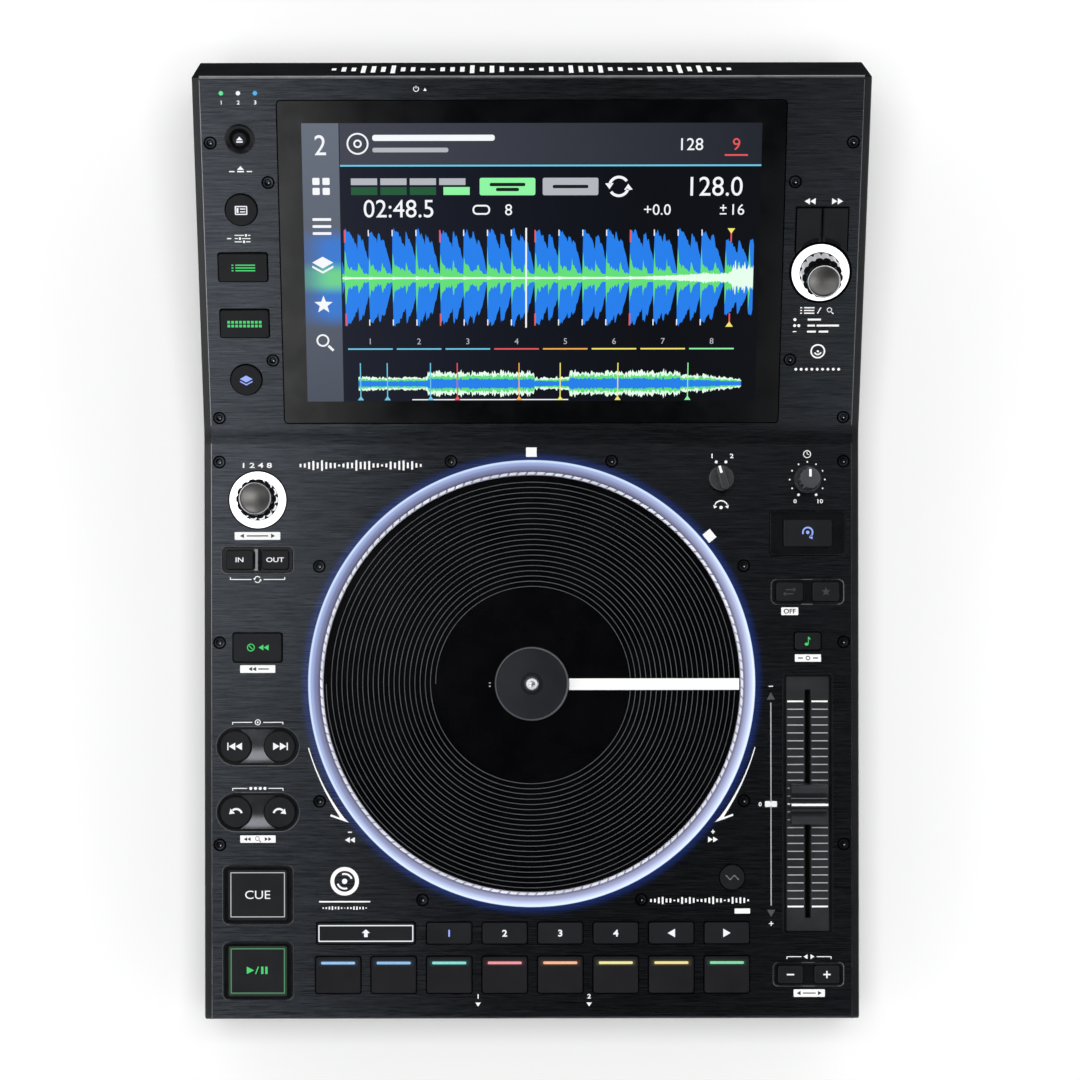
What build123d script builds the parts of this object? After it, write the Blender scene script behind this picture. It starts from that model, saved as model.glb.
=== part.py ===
from build123d import *
import os
from math import atan2, cos, degrees, hypot, radians, sin, tan

# Tabletop DJ media player: a wedge-shaped steel and aluminium case with a
# flat control deck, a tilted display deck behind it, and a motor-driven
# platter that carries a loose vinyl disc.
# Millimetres. +X right, +Y to the rear, +Z up. The origin is on the table,
# under the centre of the case.

os.makedirs("parts", exist_ok=True)

# ---------------------------------------------------------------- the case
WIDTH = 320.0
DEPTH = 464.0
FOOT_HEIGHT = 5.0
DECK_HEIGHT = 54.0        # top of the flat control deck above the table
TILT = 20.4               # slope of the display deck, degrees
BEND_Y = 54.0             # where the two decks meet
DISPLAY_LENGTH = 175.2    # from the bend to the rear top edge, up the slope
REAR_LIP_HEIGHT = 74.5    # lower edge of the slanted rear face
SIDE_THICKNESS = 3.2
RIM_RISE = 0.4            # the side rims stand this far above the decks
WALL = 3.0                # front wall and slanted rear face
DECK_SHEET = 2.0
DECK_END = 173.6          # the sheet stops short of the rear top edge
BEND_RADIUS = 28.0
REAR_WALL_Y = 221.0       # outside of the recessed connector wall
FLOOR_SHEET = 1.5
SHELF_THICKNESS = 2.0

FRONT_Y = -DEPTH / 2
REAR_Y = DEPTH / 2
SIDE_X = WIDTH / 2
DECK_HALF = SIDE_X - SIDE_THICKNESS
FLOOR_TOP = FOOT_HEIGHT + FLOOR_SHEET

# ------------------------------------------------------------------- keys
KEY_DEPTH = 4.0           # underside of a key below the deck
KEY_RISE = 1.5            # top of a key above the deck
KEY_GAP = 0.35            # between a key and its opening
KEY_TRAVEL = 1.0
FLANGE = 1.2              # retaining flange around the foot of a key
FLANGE_TOP = -DECK_SHEET - 0.3
EDGE = 0.5                # rounding of the upper edges
KEY_CORNER = 1.2
SWITCH_HEIGHT = 2.6
BOARD_TOP = -KEY_DEPTH - KEY_TRAVEL - SWITCH_HEIGHT - 0.1
BOARD = 1.6

LEFT_X = -134.0           # middle of the left column on the control deck
RIGHT_X = 135.0           # middle of the right column
DISPLAY_LEFT_X = -138.5   # middle of the left column on the display deck
PAIR_PITCH = 21.5         # between the two round keys of a pair
PAD_PITCH = 27.15
PAD_ONE_X = -94.8
PAD_Y = -210.4
MODE_Y = -190.0

# ---------------------------------------------------------------- encoders
LOOP_XY = (-133.8, 22.0)
SELECT_XY = (138.8, 80.6)
RING_OUTER = 13.85
RING_INNER = 10.2
RING_RISE = 0.8
KNOB_HEIGHT = 18.5
GRIP_HEIGHT = 11.0
GRIP_RADIUS = 8.9
LOBE_COUNT = 14
LOBE_RADIUS = 1.45
CAP_RADIUS = 8.2
STEM_RADIUS = 2.9
STEM_FLAT = 2.3
FIT = 0.1                 # radial clearance of turning and sliding fits
ROTOR_RADIUS = 5.0
ROTOR_BOTTOM = -15.0
PUSH_TRAVEL = 0.8

# ---------------------------------------------------------- potentiometers
TORQUE_XY = (92.8, 32.2)
TORQUE_ANGLE = 16.3       # the pointer rests this far left of straight back
STOP_XY = (135.0, 31.6)
POT_HOLE = 3.6
POT_STEM = 3.0

# ------------------------------------------------------------ pitch fader
FADER_Y = -127.0
FADER_BEZEL = (25.0, 128.0)
FADER_PLATE = (20.2, 124.2)
FADER_SLOT = (2.3, 111.0)
CAP_SIZE = (17.8, 20.0)
FADER_TRAVEL = 50.0

# ----------------------------------------------------------------- platter
PLATTER_XY = (0.0, -68.0)
LIGHT_OUTER = 109.4
LIGHT_INNER = 103.9
LIGHT_SEAT = 107.9
LIGHT_RISE = 3.0
PLATTER_RADIUS = 103.3
PLATTER_TOP = 4.2
DISC_RADIUS = 101.5
DISC_BOTTOM = 5.0
DISC_TOP = 6.9
SPINDLE_RADIUS = 3.57
SHAFT_RADIUS = 3.3
SPINDLE_TOP = 20.0
HUB_RADIUS = 18.1
HUB_TOP = 10.4
BEARING_RADIUS = 7.0
WELL_INNER = 108.3
WELL_OUTER = 110.2
WELL_FLOOR = -33.0

# ------------------------------------------------------------- touchscreen
GLASS_HALF = 120.5
GLASS_FROM = 5.6
GLASS_TO = 163.8
GLASS_CORNER = 1.8
GLASS = 1.1

# ------------------------------------------------------------------ screws
HEAD_RADIUS = 3.0
SHANK_RADIUS = 1.25
SCREW_LENGTH = 7.0
FLAT_EDGE_SCREWS = [(152.6, 40.6), (152.6, -47.8), (152.6, -146.7)]
WELL_SCREWS = [(39.3, 40.7), (103.8, -10.5), (103.8, -125.5), (53.5, -173.8)]
TILTED_EDGE_SCREWS = [(152.3, 143.7), (152.3, 8.4)]
DISPLAY_SCREWS = [(125.4, 124.7), (125.4, 37.4)]

control_deck = Plane(origin=(0, 0, DECK_HEIGHT))
slope = radians(TILT)
display_deck = Plane(
    origin=(0, BEND_Y, DECK_HEIGHT),
    x_dir=(1, 0, 0),
    z_dir=(0, -sin(slope), cos(slope)),
)


# ---------------------------------------------------------------- helpers
def prism(outline, low, high):
    """A flat outline made solid between two heights."""
    return Pos(0, 0, low) * extrude(outline, amount=high - low)


def block(x0, x1, y0, y1, z0, z1):
    """A box between two corners."""
    middle = Pos((x0 + x1) / 2, (y0 + y1) / 2, (z0 + z1) / 2)
    return middle * Box(x1 - x0, y1 - y0, z1 - z0)


def put(deck, x, y, shape):
    """Stand a shape, made about a deck's surface, at x, y on that deck."""
    return deck.location * Pos(x, y, 0) * shape


def top_edges(shape):
    return shape.edges().group_by(Axis.Z)[-1]


def turned(points):
    """A ring about Z from the corners of its section, each (radius, height)."""
    section = make_face(Polyline([(r, 0, z) for r, z in points], close=True))
    return revolve(section, Axis.Z)


def mirrored_pairs(places):
    """Each place and its mirror image left of the middle."""
    return [(side * x, y) for x, y in places for side in (-1, 1)]


def profile_solid(points, x0, x1):
    """A side-view outline, each corner (y, z), made solid from x0 to x1."""
    face = make_face(Polyline([(x0, y, z) for y, z in points], close=True))
    return extrude(face, amount=x1 - x0, dir=(1, 0, 0))


def edges_at(shape, y, z):
    """The edges along X that pass a place in the side view."""
    near = [
        edge
        for edge in shape.edges().filter_by(Axis.X)
        if abs(edge.center().Y - y) < 0.05 and abs(edge.center().Z - z) < 0.05
    ]
    return ShapeList(near)


def on_slope(along, above):
    """Side-view place of a point on the display deck."""
    y = BEND_Y + along * cos(slope) - above * sin(slope)
    z = DECK_HEIGHT + along * sin(slope) + above * cos(slope)
    return (y, z)


def rounded(width, height, corner=KEY_CORNER, grow=0.0):
    """A rounded rectangle, made larger all round by grow."""
    return RectangleRounded(width + 2 * grow, height + 2 * grow, corner + grow)


# ------------------------------------------------------- where the keys are
class Key:
    """A push key: its outline grows for the flange and for its opening."""

    def __init__(self, name, deck, x, y, size, rise=KEY_RISE, framed=False):
        self.name = name
        self.deck = deck
        self.x = x
        self.y = y
        self.size = size
        self.rise = rise
        self.framed = framed

    def outline(self, grow=0.0):
        if len(self.size) == 1:
            return Circle(self.size[0] + grow)
        return rounded(self.size[0], self.size[1], KEY_CORNER, grow)

    def solid(self):
        cap = prism(self.outline(), -KEY_DEPTH, self.rise)
        cap = fillet(top_edges(cap), EDGE)
        return cap + prism(self.outline(FLANGE), -KEY_DEPTH, FLANGE_TOP)

    def opening(self):
        return prism(self.outline(KEY_GAP), -DECK_SHEET - 1, 1)


def list_keys():
    """Every plain push key on the two decks."""
    small = (13.1, 9.2)
    wide = (23.2, 13.6)
    round_key = (7.44,)
    keys = [
        Key("media_eject_button", display_deck, -138.3, 145.5, (3.3,), 1.0, True),
        Key("view_button", display_deck, DISPLAY_LEFT_X, 111.6, round_key),
        Key("source_button", display_deck, DISPLAY_LEFT_X, 83.6, wide),
        Key("shortcuts_button", display_deck, DISPLAY_LEFT_X, 55.9, wide),
        Key("layer_button", display_deck, DISPLAY_LEFT_X, 27.8, round_key),
        Key("loop_in_button", control_deck, LEFT_X - 8.7, -7.3, small, framed=True),
        Key("loop_out_button", control_deck, LEFT_X + 8.7, -7.3, small, framed=True),
        Key("censor_button", control_deck, LEFT_X, -50.2, (23.6, 13.8)),
        Key("cue_button", control_deck, LEFT_X, -171.2, (28.9, 24.8), 2.0, True),
        Key("play_button", control_deck, LEFT_X, -208.4, (28.9, 24.8), 2.0, True),
        Key("shift_button", control_deck, -81.2, MODE_Y, (47.8, 10.2)),
        Key("motor_button", control_deck, RIGHT_X, 5.4, (23.6, 13.2), 1.8, True),
        Key("sync_button", control_deck, RIGHT_X - 8.9, -23.3, small, framed=True),
        Key("master_button", control_deck, RIGHT_X + 8.9, -23.3, small, framed=True),
        Key("key_lock_button", control_deck, RIGHT_X, -47.4, (12.6, 8.2), 1.0),
        Key("slip_button", control_deck, 97.9, -162.9, (6.0,)),
        Key("bend_minus_button", control_deck, RIGHT_X - 8.7, -210.4, (12.3, 8.6), framed=True),
        Key("bend_plus_button", control_deck, RIGHT_X + 9.1, -210.4, (12.3, 8.6), framed=True),
    ]
    pairs = (("track_skip", -98.5), ("beat_jump", -130.7))
    for pair, y in pairs:
        for side, word in ((-1, "back"), (1, "forward")):
            x = LEFT_X + side * PAIR_PITCH / 2
            keys.append(Key(f"{pair}_{word}_button", control_deck, x, y, round_key, framed=True))
    modes = ("mode_1", "mode_2", "mode_3", "mode_4", "page_left", "page_right")
    for number, mode in enumerate(modes):
        x = PAD_ONE_X + (number + 2) * PAD_PITCH
        keys.append(Key(f"{mode}_button", control_deck, x, MODE_Y, (21.7, 10.2)))
    for number in range(8):
        x = PAD_ONE_X + number * PAD_PITCH
        keys.append(Key(f"pad_{number + 1}", control_deck, x, PAD_Y, (21.8, 17.7), 1.2))
    return keys


KEYS = list_keys()


def key_named(name):
    return next(key for key in KEYS if key.name == name)


# --------------------------------------------- back and forward key corner
SIDE_KEY_INNER = 0.3      # half the gap between the two keys
SIDE_KEY_X = SELECT_XY[0]
SIDE_KEY_OUTER = 12.1
SIDE_KEY_TOP = 112.0
SIDE_KEY_ARC = 15.5


def side_key_outline(side):
    """A rectangle whose lower end is cut by an arc about the select knob."""
    width = SIDE_KEY_OUTER - SIDE_KEY_INNER
    middle_x = side * (SIDE_KEY_OUTER + SIDE_KEY_INNER) / 2
    length = SIDE_KEY_TOP - SELECT_XY[1]
    outline = Pos(middle_x, length / 2) * Rectangle(width, length)
    return outline - Circle(SIDE_KEY_ARC)


def side_key_opening():
    """One opening for both keys."""
    width = 2 * (SIDE_KEY_OUTER + KEY_GAP)
    top = SIDE_KEY_TOP - SELECT_XY[1] + KEY_GAP
    outline = Pos(0, top / 2) * Rectangle(width, top)
    outline -= Circle(SIDE_KEY_ARC - KEY_GAP)
    return prism(outline, -DECK_SHEET - 1, 1)


def side_key(side):
    """One of the two keys: its top is dished towards the knob."""
    cap = prism(side_key_outline(side), -KEY_DEPTH, KEY_RISE)
    cap = chamfer(top_edges(cap), 0.25)
    dish = Pos(0, 0, KEY_RISE + 22) * Sphere(26.2)
    cap -= dish
    tab_x = side * (SIDE_KEY_OUTER / 2 + 0.4)
    tab_y = SIDE_KEY_TOP - SELECT_XY[1] + FLANGE / 2
    tab = Pos(tab_x, tab_y) * Rectangle(SIDE_KEY_OUTER - 1, FLANGE + 1)
    return cap + prism(tab, -KEY_DEPTH, FLANGE_TOP)


# ------------------------------------------------------------------ bezels
def bezel(width, height, corner, keys, x, y, lip=0.4, lip_width=0.9, floor=-0.9):
    """A moulded tray around one or two keys, with a raised lip."""
    tray = prism(rounded(width, height, corner, -FIT), -DECK_SHEET, floor)
    outer = prism(rounded(width, height, corner, -FIT), -DECK_SHEET, lip)
    inner = prism(rounded(width, height, corner, -lip_width), floor, lip + 1)
    rim = chamfer(top_edges(outer), 0.3) - inner
    tray = tray + rim
    for key in keys:
        tray -= Pos(key.x - x, key.y - y, 0) * key.opening()
    return tray


BEZELS = [
    # x, y, width, height, corner, the keys inside, lip height
    (LEFT_X, -7.3, 34.8, 12.6, 2.4, ("loop_in_button", "loop_out_button"), 0.4),
    (LEFT_X, -98.5, 40.2, 18.6, 9.2, ("track_skip_back_button", "track_skip_forward_button"), 0.4),
    (LEFT_X, -130.7, 40.2, 18.6, 9.2, ("beat_jump_back_button", "beat_jump_forward_button"), 0.4),
    (LEFT_X, -171.2, 34.0, 28.4, 2.6, ("cue_button",), 0.4),
    (LEFT_X, -208.4, 34.0, 28.0, 2.6, ("play_button",), 0.4),
    (RIGHT_X, 5.4, 37.0, 21.7, 2.0, ("motor_button",), 1.0),
    (RIGHT_X, -23.3, 35.0, 11.6, 2.4, ("sync_button", "master_button"), 0.4),
    (RIGHT_X + 0.2, -210.4, 34.0, 11.0, 2.0, ("bend_minus_button", "bend_plus_button"), 0.4),
]


def bezel_opening(width, height, corner):
    return prism(rounded(width, height, corner), -DECK_SHEET - 1, 1)


def build_bezels():
    """The key trays, the eject ring and the pitch fader's frame."""
    trays = []
    for x, y, width, height, corner, names, lip in BEZELS:
        keys = [key_named(name) for name in names]
        tray = bezel(width, height, corner, keys, x, y, lip)
        trays.append(put(control_deck, x, y, tray))

    eject = key_named("media_eject_button")
    ring = turned([(3.7, -2.0), (7.1, -2.0), (7.1, 0.3), (6.4, 0.8), (5.2, 0.2), (3.7, -0.9)])
    trays.append(put(eject.deck, eject.x, eject.y, ring))

    frame = bezel(*FADER_BEZEL, 2.2, [], 0, 0, lip=0.5, lip_width=1.1, floor=-1.2)
    plate_edge = prism(rounded(*FADER_PLATE, 1.0), -1.2, -0.7)
    slot = prism(rounded(*FADER_SLOT, 0.4), -DECK_SHEET - 1, 1)
    frame = frame + plate_edge - slot
    trays.append(put(control_deck, RIGHT_X, FADER_Y, frame))
    return trays


# --------------------------------------------------------------- top panel
def countersink():
    cone = turned([(0, 0.01), (HEAD_RADIUS + 0.16, 0.01), (1.55, -1.6), (0, -1.6)])
    return cone + prism(Circle(1.55), -DECK_SHEET - 1, -1.5)


def deck_screw_places():
    """Deck, x and y of each screw that is seen from above."""
    flat = mirrored_pairs(FLAT_EDGE_SCREWS + WELL_SCREWS)
    tilted = mirrored_pairs(TILTED_EDGE_SCREWS + DISPLAY_SCREWS)
    return [(control_deck, x, y) for x, y in flat] + [(display_deck, x, y) for x, y in tilted]


LED_PLACES = [(-146.4, 167.3), (-138.4, 167.3), (-130.4, 167.3)]
LED_RADIUS = 1.0


def deck_openings():
    """Everything cut out of the bent top sheet."""
    cuts = [put(key.deck, key.x, key.y, key.opening()) for key in KEYS if not key.framed]
    for x, y, width, height, corner, _names, _lip in BEZELS:
        cuts.append(put(control_deck, x, y, bezel_opening(width, height, corner)))
    eject = key_named("media_eject_button")
    cuts.append(put(eject.deck, eject.x, eject.y, prism(Circle(7.2), -3, 1)))
    cuts.append(put(control_deck, RIGHT_X, FADER_Y, bezel_opening(*FADER_BEZEL, 2.2)))
    cuts.append(put(control_deck, *PLATTER_XY, prism(Circle(LIGHT_SEAT + FIT), -3, 1)))
    ring_hole = prism(Circle(RING_OUTER - 0.45), -3, 1)
    cuts.append(put(control_deck, *LOOP_XY, ring_hole))
    cuts.append(put(display_deck, *SELECT_XY, ring_hole))
    cuts.append(put(display_deck, *SELECT_XY, side_key_opening()))
    pot_hole = prism(Circle(POT_HOLE), -3, 1)
    cuts.append(put(control_deck, *TORQUE_XY, pot_hole))
    cuts.append(put(control_deck, *STOP_XY, pot_hole))
    glass_gap = glass_outline(0.3)
    cuts.append(put(display_deck, 0, 0, prism(glass_gap, -3, 1)))
    for x, y in LED_PLACES:
        cuts.append(put(display_deck, x, y, prism(Circle(LED_RADIUS + FIT), -3, 1)))
    cuts += [put(deck, x, y, countersink()) for deck, x, y in deck_screw_places()]
    return cuts


def glass_outline(grow=0.0):
    middle = (GLASS_FROM + GLASS_TO) / 2
    length = GLASS_TO - GLASS_FROM
    return Pos(0, middle) * rounded(2 * GLASS_HALF, length, GLASS_CORNER, grow)


def build_top_panel():
    """One bent aluminium sheet that forms both decks."""
    under_bend = BEND_Y + DECK_SHEET * tan(slope / 2)
    corners = [
        (FRONT_Y, DECK_HEIGHT),
        (BEND_Y, DECK_HEIGHT),
        on_slope(DECK_END, 0),
        on_slope(DECK_END, -DECK_SHEET),
        (under_bend, DECK_HEIGHT - DECK_SHEET),
        (FRONT_Y, DECK_HEIGHT - DECK_SHEET),
    ]
    half = DECK_HALF - 0.05
    sheet = profile_solid(corners, -half, half)
    sheet = fillet(edges_at(sheet, BEND_Y, DECK_HEIGHT), BEND_RADIUS)
    under = edges_at(sheet, under_bend, DECK_HEIGHT - DECK_SHEET)
    sheet = fillet(under, BEND_RADIUS + DECK_SHEET)
    sheet = fillet(edges_at(sheet, FRONT_Y, DECK_HEIGHT), 1.6)
    return sheet - deck_openings()


# --------------------------------------------------------------- body case
BOSS_RADIUS = 4.0
BOSS_TOP = 40.0
CORNER_BOSSES = [(149.0, -221.0), (149.0, 205.0)]
CARD_SLOT_X = -26.4
FRONT_USB_X = 27.9
FRONT_SOCKET_Z = 32.0
CARD_SLOT = (25.0, 3.0)
USB_MOUTH = (12.8, 5.4)


def build_side(x0, x1):
    """One side cheek: its upper rim follows both decks."""
    rim_bend = BEND_Y - RIM_RISE * tan(slope / 2)
    corners = [
        (FRONT_Y, FOOT_HEIGHT),
        (FRONT_Y, DECK_HEIGHT + RIM_RISE),
        (rim_bend, DECK_HEIGHT + RIM_RISE),
        on_slope(DISPLAY_LENGTH, RIM_RISE),
        (REAR_Y, REAR_LIP_HEIGHT),
        (REAR_Y, FOOT_HEIGHT),
    ]
    cheek = profile_solid(corners, x0, x1)
    cheek = fillet(edges_at(cheek, rim_bend, DECK_HEIGHT + RIM_RISE), BEND_RADIUS - RIM_RISE)
    cheek = fillet(edges_at(cheek, FRONT_Y, DECK_HEIGHT + RIM_RISE), 2.0)
    cheek = fillet(edges_at(cheek, *on_slope(DISPLAY_LENGTH, RIM_RISE)), 1.2)
    for y in (FRONT_Y, REAR_Y):
        cheek = fillet(edges_at(cheek, y, FOOT_HEIGHT), 1.5)
    outer = x0 if abs(x0) > abs(x1) else x1
    face = cheek.faces().filter_by(Axis.X).sort_by(lambda f: abs(f.center().X - outer))[0]
    return fillet(face.outer_wire().edges(), 0.9)


def screw_tab(deck, x, y):
    """A block on a side cheek that an edge screw of the top panel bites in."""
    side = 1 if x > 0 else -1
    reach = DECK_HALF - abs(x)
    width = reach + 4
    block_x = side * (abs(x) + reach - width / 2)
    tab = Pos(block_x, y, -DECK_SHEET - 5) * Box(width, 8, 10)
    hole = put(Plane.XY, x, y, prism(Circle(SHANK_RADIUS), -SCREW_LENGTH - 1, 0))
    return deck.location * (tab - hole)


def corner_boss(x, y):
    """A pillar in a lower corner, webbed to the cheek, for a floor screw."""
    wall_x = DECK_HALF if x > 0 else -DECK_HALF
    web = block(min(x, wall_x), max(x, wall_x), y - 2, y + 2, FLOOR_TOP, BOSS_TOP)
    boss = put(Plane.XY, x, y, prism(Circle(BOSS_RADIUS), FLOOR_TOP, BOSS_TOP)) + web
    return boss - put(Plane.XY, x, y, prism(Circle(SHANK_RADIUS), FLOOR_TOP - 1, FLOOR_TOP + 9))


def build_body_case():
    """Side cheeks, front wall and slanted rear face in one moulding."""
    case = build_side(-SIDE_X, -DECK_HALF) + build_side(DECK_HALF, SIDE_X)
    wall_top = DECK_HEIGHT - DECK_SHEET
    front = block(-DECK_HALF, DECK_HALF, FRONT_Y, FRONT_Y + WALL, FOOT_HEIGHT, wall_top)
    slant = [
        on_slope(DECK_END + 0.1, 0),
        on_slope(DISPLAY_LENGTH, 0),
        (REAR_Y, REAR_LIP_HEIGHT),
        (REAR_Y - WALL - 0.2, REAR_LIP_HEIGHT),
        on_slope(DECK_END - 1.2, -DECK_SHEET - 2.5),
        on_slope(DECK_END - 1.2, -DECK_SHEET),
        on_slope(DECK_END + 0.1, -DECK_SHEET),
    ]
    rear = profile_solid(slant, -DECK_HALF, DECK_HALF)
    rear = fillet(edges_at(rear, *on_slope(DISPLAY_LENGTH, 0)), 1.0)
    shelf_low = REAR_LIP_HEIGHT - SHELF_THICKNESS
    shelf_y = REAR_WALL_Y - FLOOR_SHEET
    shelf = block(-DECK_HALF, DECK_HALF, shelf_y, REAR_Y, shelf_low, REAR_LIP_HEIGHT)
    case = case + front + rear + shelf
    for x, y in mirrored_pairs(FLAT_EDGE_SCREWS):
        case += screw_tab(control_deck, x, y)
    for x, y in mirrored_pairs(TILTED_EDGE_SCREWS):
        case += screw_tab(display_deck, x, y)
    for x, y in mirrored_pairs(CORNER_BOSSES):
        case += corner_boss(x, y)
    card = rounded(CARD_SLOT[0], CARD_SLOT[1], 0.8)
    usb = rounded(USB_MOUTH[0], USB_MOUTH[1], 0.6)
    for x, outline in ((CARD_SLOT_X, card), (FRONT_USB_X, usb)):
        mouth = Pos(x, FRONT_Y - 1, FRONT_SOCKET_Z) * Rot(-90, 0, 0) * extrude(outline, amount=WALL + 2)
        case -= mouth
    return case


# ----------------------------------------------------------------- sockets
POWER_INLET_XZ = (-112.0, 34.0)
POWER_BUTTON_XZ = (-54.5, 34.0)
NETWORK_XZ = (-12.0, 30.0)
REAR_USB_XZ = [(16.0, 30.0), (40.0, 30.0)]
AUDIO_XZ = [(x, z) for x in (72.0, 96.0, 120.0) for z in (22.0, 44.0)]
INLET_BODY = (30.0, 22.0)
INLET_MOUTH = (24.4, 16.8)
INLET_DEPTH = 16.0
NETWORK_BODY = (16.0, 13.6)
NETWORK_MOUTH = (11.8, 8.4)
USB_BODY = (15.0, 7.6)
JACK_RADIUS = 4.15
JACK_NUT = 6.2
JACK_LENGTH = 8.5
BUTTON_RADIUS = 5.5


def facing_rear(x, z, shape):
    """Turn a shape made along +Z so that it points out of the rear wall."""
    return Pos(x, REAR_WALL_Y, z) * Rot(-90, 0, 0) * shape


def facing_front(x, z, shape):
    """Turn a shape made along +Z so that it points out of the front wall."""
    return Pos(x, FRONT_Y + WALL, z) * Rot(90, 0, 0) * shape


def power_inlet():
    """A three-pin mains inlet: the blades stand in the upper part of the cavity."""
    neck = (INLET_BODY[0] - 3, INLET_BODY[1] - 3)
    body = prism(rounded(*INLET_BODY, 1.5), 0, 1.6)
    body += prism(rounded(*neck, 1.0), -INLET_DEPTH - 2, 0)
    body -= prism(rounded(*INLET_MOUTH, 2.5), -INLET_DEPTH, 2)
    # Seen along the socket, +Y of its own frame points down.
    places = ((-7, -3.2), (7, -3.2), (0, -5.2))
    blades = [Pos(x, y, -INLET_DEPTH + 6) * Box(2.0, 4.0, 12.0) for x, y in places]
    return [body] + blades


def network_socket():
    body = prism(rounded(*NETWORK_BODY, 0.6), -15.0, 1.0)
    cavity = prism(rounded(*NETWORK_MOUTH, 0.4), -13.0, 2)
    return [body - cavity]


def usb_socket(front_face):
    """A flat socket with its tongue in the upper half of the mouth."""
    body = prism(rounded(*USB_BODY, 0.5), -14.0, front_face)
    cavity = prism(rounded(USB_MOUTH[0] - 0.2, USB_MOUTH[1] - 0.2, 0.3), -12.0, front_face + 1)
    return body - cavity


def usb_tongue(upward):
    return Pos(0, upward * 1.2, -7.0) * Box(11.0, 1.6, 10.0)


def audio_jack():
    """A phono jack: nut, sleeve and the hole for the centre pin."""
    nut = prism(RegularPolygon(JACK_NUT, 6), 0, 2.0)
    sleeve = prism(Circle(JACK_RADIUS), -12.0, JACK_LENGTH)
    return nut + sleeve - prism(Circle(1.7), -6.0, JACK_LENGTH + 1)


def card_socket():
    body = prism(rounded(CARD_SLOT[0] + 3, CARD_SLOT[1] + 2, 0.6), -26.0, 0)
    return body - prism(rounded(CARD_SLOT[0] - 0.4, CARD_SLOT[1] - 0.4, 0.5), -24.0, 1)


def build_sockets():
    """Every connector on the rear wall and in the front wall."""
    pieces = [facing_rear(*POWER_INLET_XZ, piece) for piece in power_inlet()]
    pieces += [facing_rear(*NETWORK_XZ, piece) for piece in network_socket()]
    for place in REAR_USB_XZ:
        pieces.append(facing_rear(*place, usb_socket(0.8)))
        pieces.append(facing_rear(*place, usb_tongue(-1)))
    pieces += [facing_rear(*place, audio_jack()) for place in AUDIO_XZ]
    pieces.append(facing_front(CARD_SLOT_X, FRONT_SOCKET_Z, card_socket()))
    pieces.append(facing_front(FRONT_USB_X, FRONT_SOCKET_Z, usb_socket(0)))
    pieces.append(facing_front(FRONT_USB_X, FRONT_SOCKET_Z, usb_tongue(1)))
    return pieces


# ----------------------------------------------------------------- chassis
FLANGE_HEIGHT = 12.0
VENT = (3.0, 44.0)
VENT_COUNT = 9
VENT_PITCH = 8.0
VENT_ROWS = [(-75.0, 150.0), (75.0, 150.0), (0.0, -180.0)]
FEET = [(132.0, -204.0), (132.0, 190.0)]
FOOT_RADIUS = 11.0


def build_chassis():
    """A folded steel tray: floor, low flanges and the connector wall."""
    half = DECK_HALF - 0.1
    front = FRONT_Y + WALL + 0.1
    tray = block(-half, half, front, REAR_WALL_Y, FOOT_HEIGHT, FLOOR_TOP)
    wall_y = REAR_WALL_Y - FLOOR_SHEET
    shelf_low = REAR_LIP_HEIGHT - SHELF_THICKNESS
    tray += block(-half, half, wall_y, REAR_WALL_Y, FOOT_HEIGHT, shelf_low)
    for side in (-1, 1):
        inner = side * (half - FLOOR_SHEET)
        x0, x1 = sorted((inner, side * half))
        flange = block(x0, x1, -190, 185, FOOT_HEIGHT, FLOOR_TOP + FLANGE_HEIGHT)
        tray += flange
    for row_x, row_y in VENT_ROWS:
        for step in range(VENT_COUNT):
            x = row_x + (step - (VENT_COUNT - 1) / 2) * VENT_PITCH
            tray -= Pos(x, row_y, 0) * prism(rounded(*VENT, 1.4), 0, FLOOR_TOP + 1)
    for x, y in mirrored_pairs(CORNER_BOSSES):
        tray -= Pos(x, y, 0) * prism(Circle(1.6), 0, FLOOR_TOP + 1)
    cuts = [(POWER_INLET_XZ, rounded(INLET_BODY[0] - 3, INLET_BODY[1] - 3, 1.0, 0.1))]
    cuts.append((NETWORK_XZ, rounded(*NETWORK_BODY, 0.6, 0.1)))
    cuts += [(place, rounded(*USB_BODY, 0.5, 0.1)) for place in REAR_USB_XZ]
    cuts += [(place, Circle(JACK_RADIUS + 0.1)) for place in AUDIO_XZ]
    cuts.append((POWER_BUTTON_XZ, Circle(BUTTON_RADIUS + 0.4)))
    for place, outline in cuts:
        tray -= facing_rear(*place, prism(outline, -4, 4))
    return tray


# --------------------------------------------------------------- the rest
def build_feet():
    foot = turned(
        [(0, 0), (FOOT_RADIUS - 1.5, 0), (FOOT_RADIUS, 1.2), (FOOT_RADIUS, FOOT_HEIGHT), (0, FOOT_HEIGHT)]
    )
    return [Pos(x, y, 0) * foot for x, y in mirrored_pairs(FEET)]


def deck_screw():
    """Countersunk screw with a six-sided socket."""
    head = turned([(0, -0.1), (HEAD_RADIUS, -0.1), (1.45, -1.6), (0, -1.6)])
    socket = prism(RegularPolygon(1.25, 6), -1.2, 0.5)
    shank = prism(Circle(SHANK_RADIUS), -SCREW_LENGTH, -1.5)
    return head + shank - socket


def floor_screw():
    """Round-headed screw under the floor, into a corner boss."""
    head = turned([(0, -2.0), (2.0, -2.0), (2.9, -1.2), (2.9, 0), (0, 0)])
    return head + prism(Circle(SHANK_RADIUS), -0.01, 8.0) - prism(RegularPolygon(1.25, 6), -3, -0.9)


def build_screws():
    screws = [put(deck, x, y, deck_screw()) for deck, x, y in deck_screw_places()]
    for x, y in mirrored_pairs(CORNER_BOSSES):
        screws.append(Pos(x, y, FOOT_HEIGHT) * floor_screw())
    return screws


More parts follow.
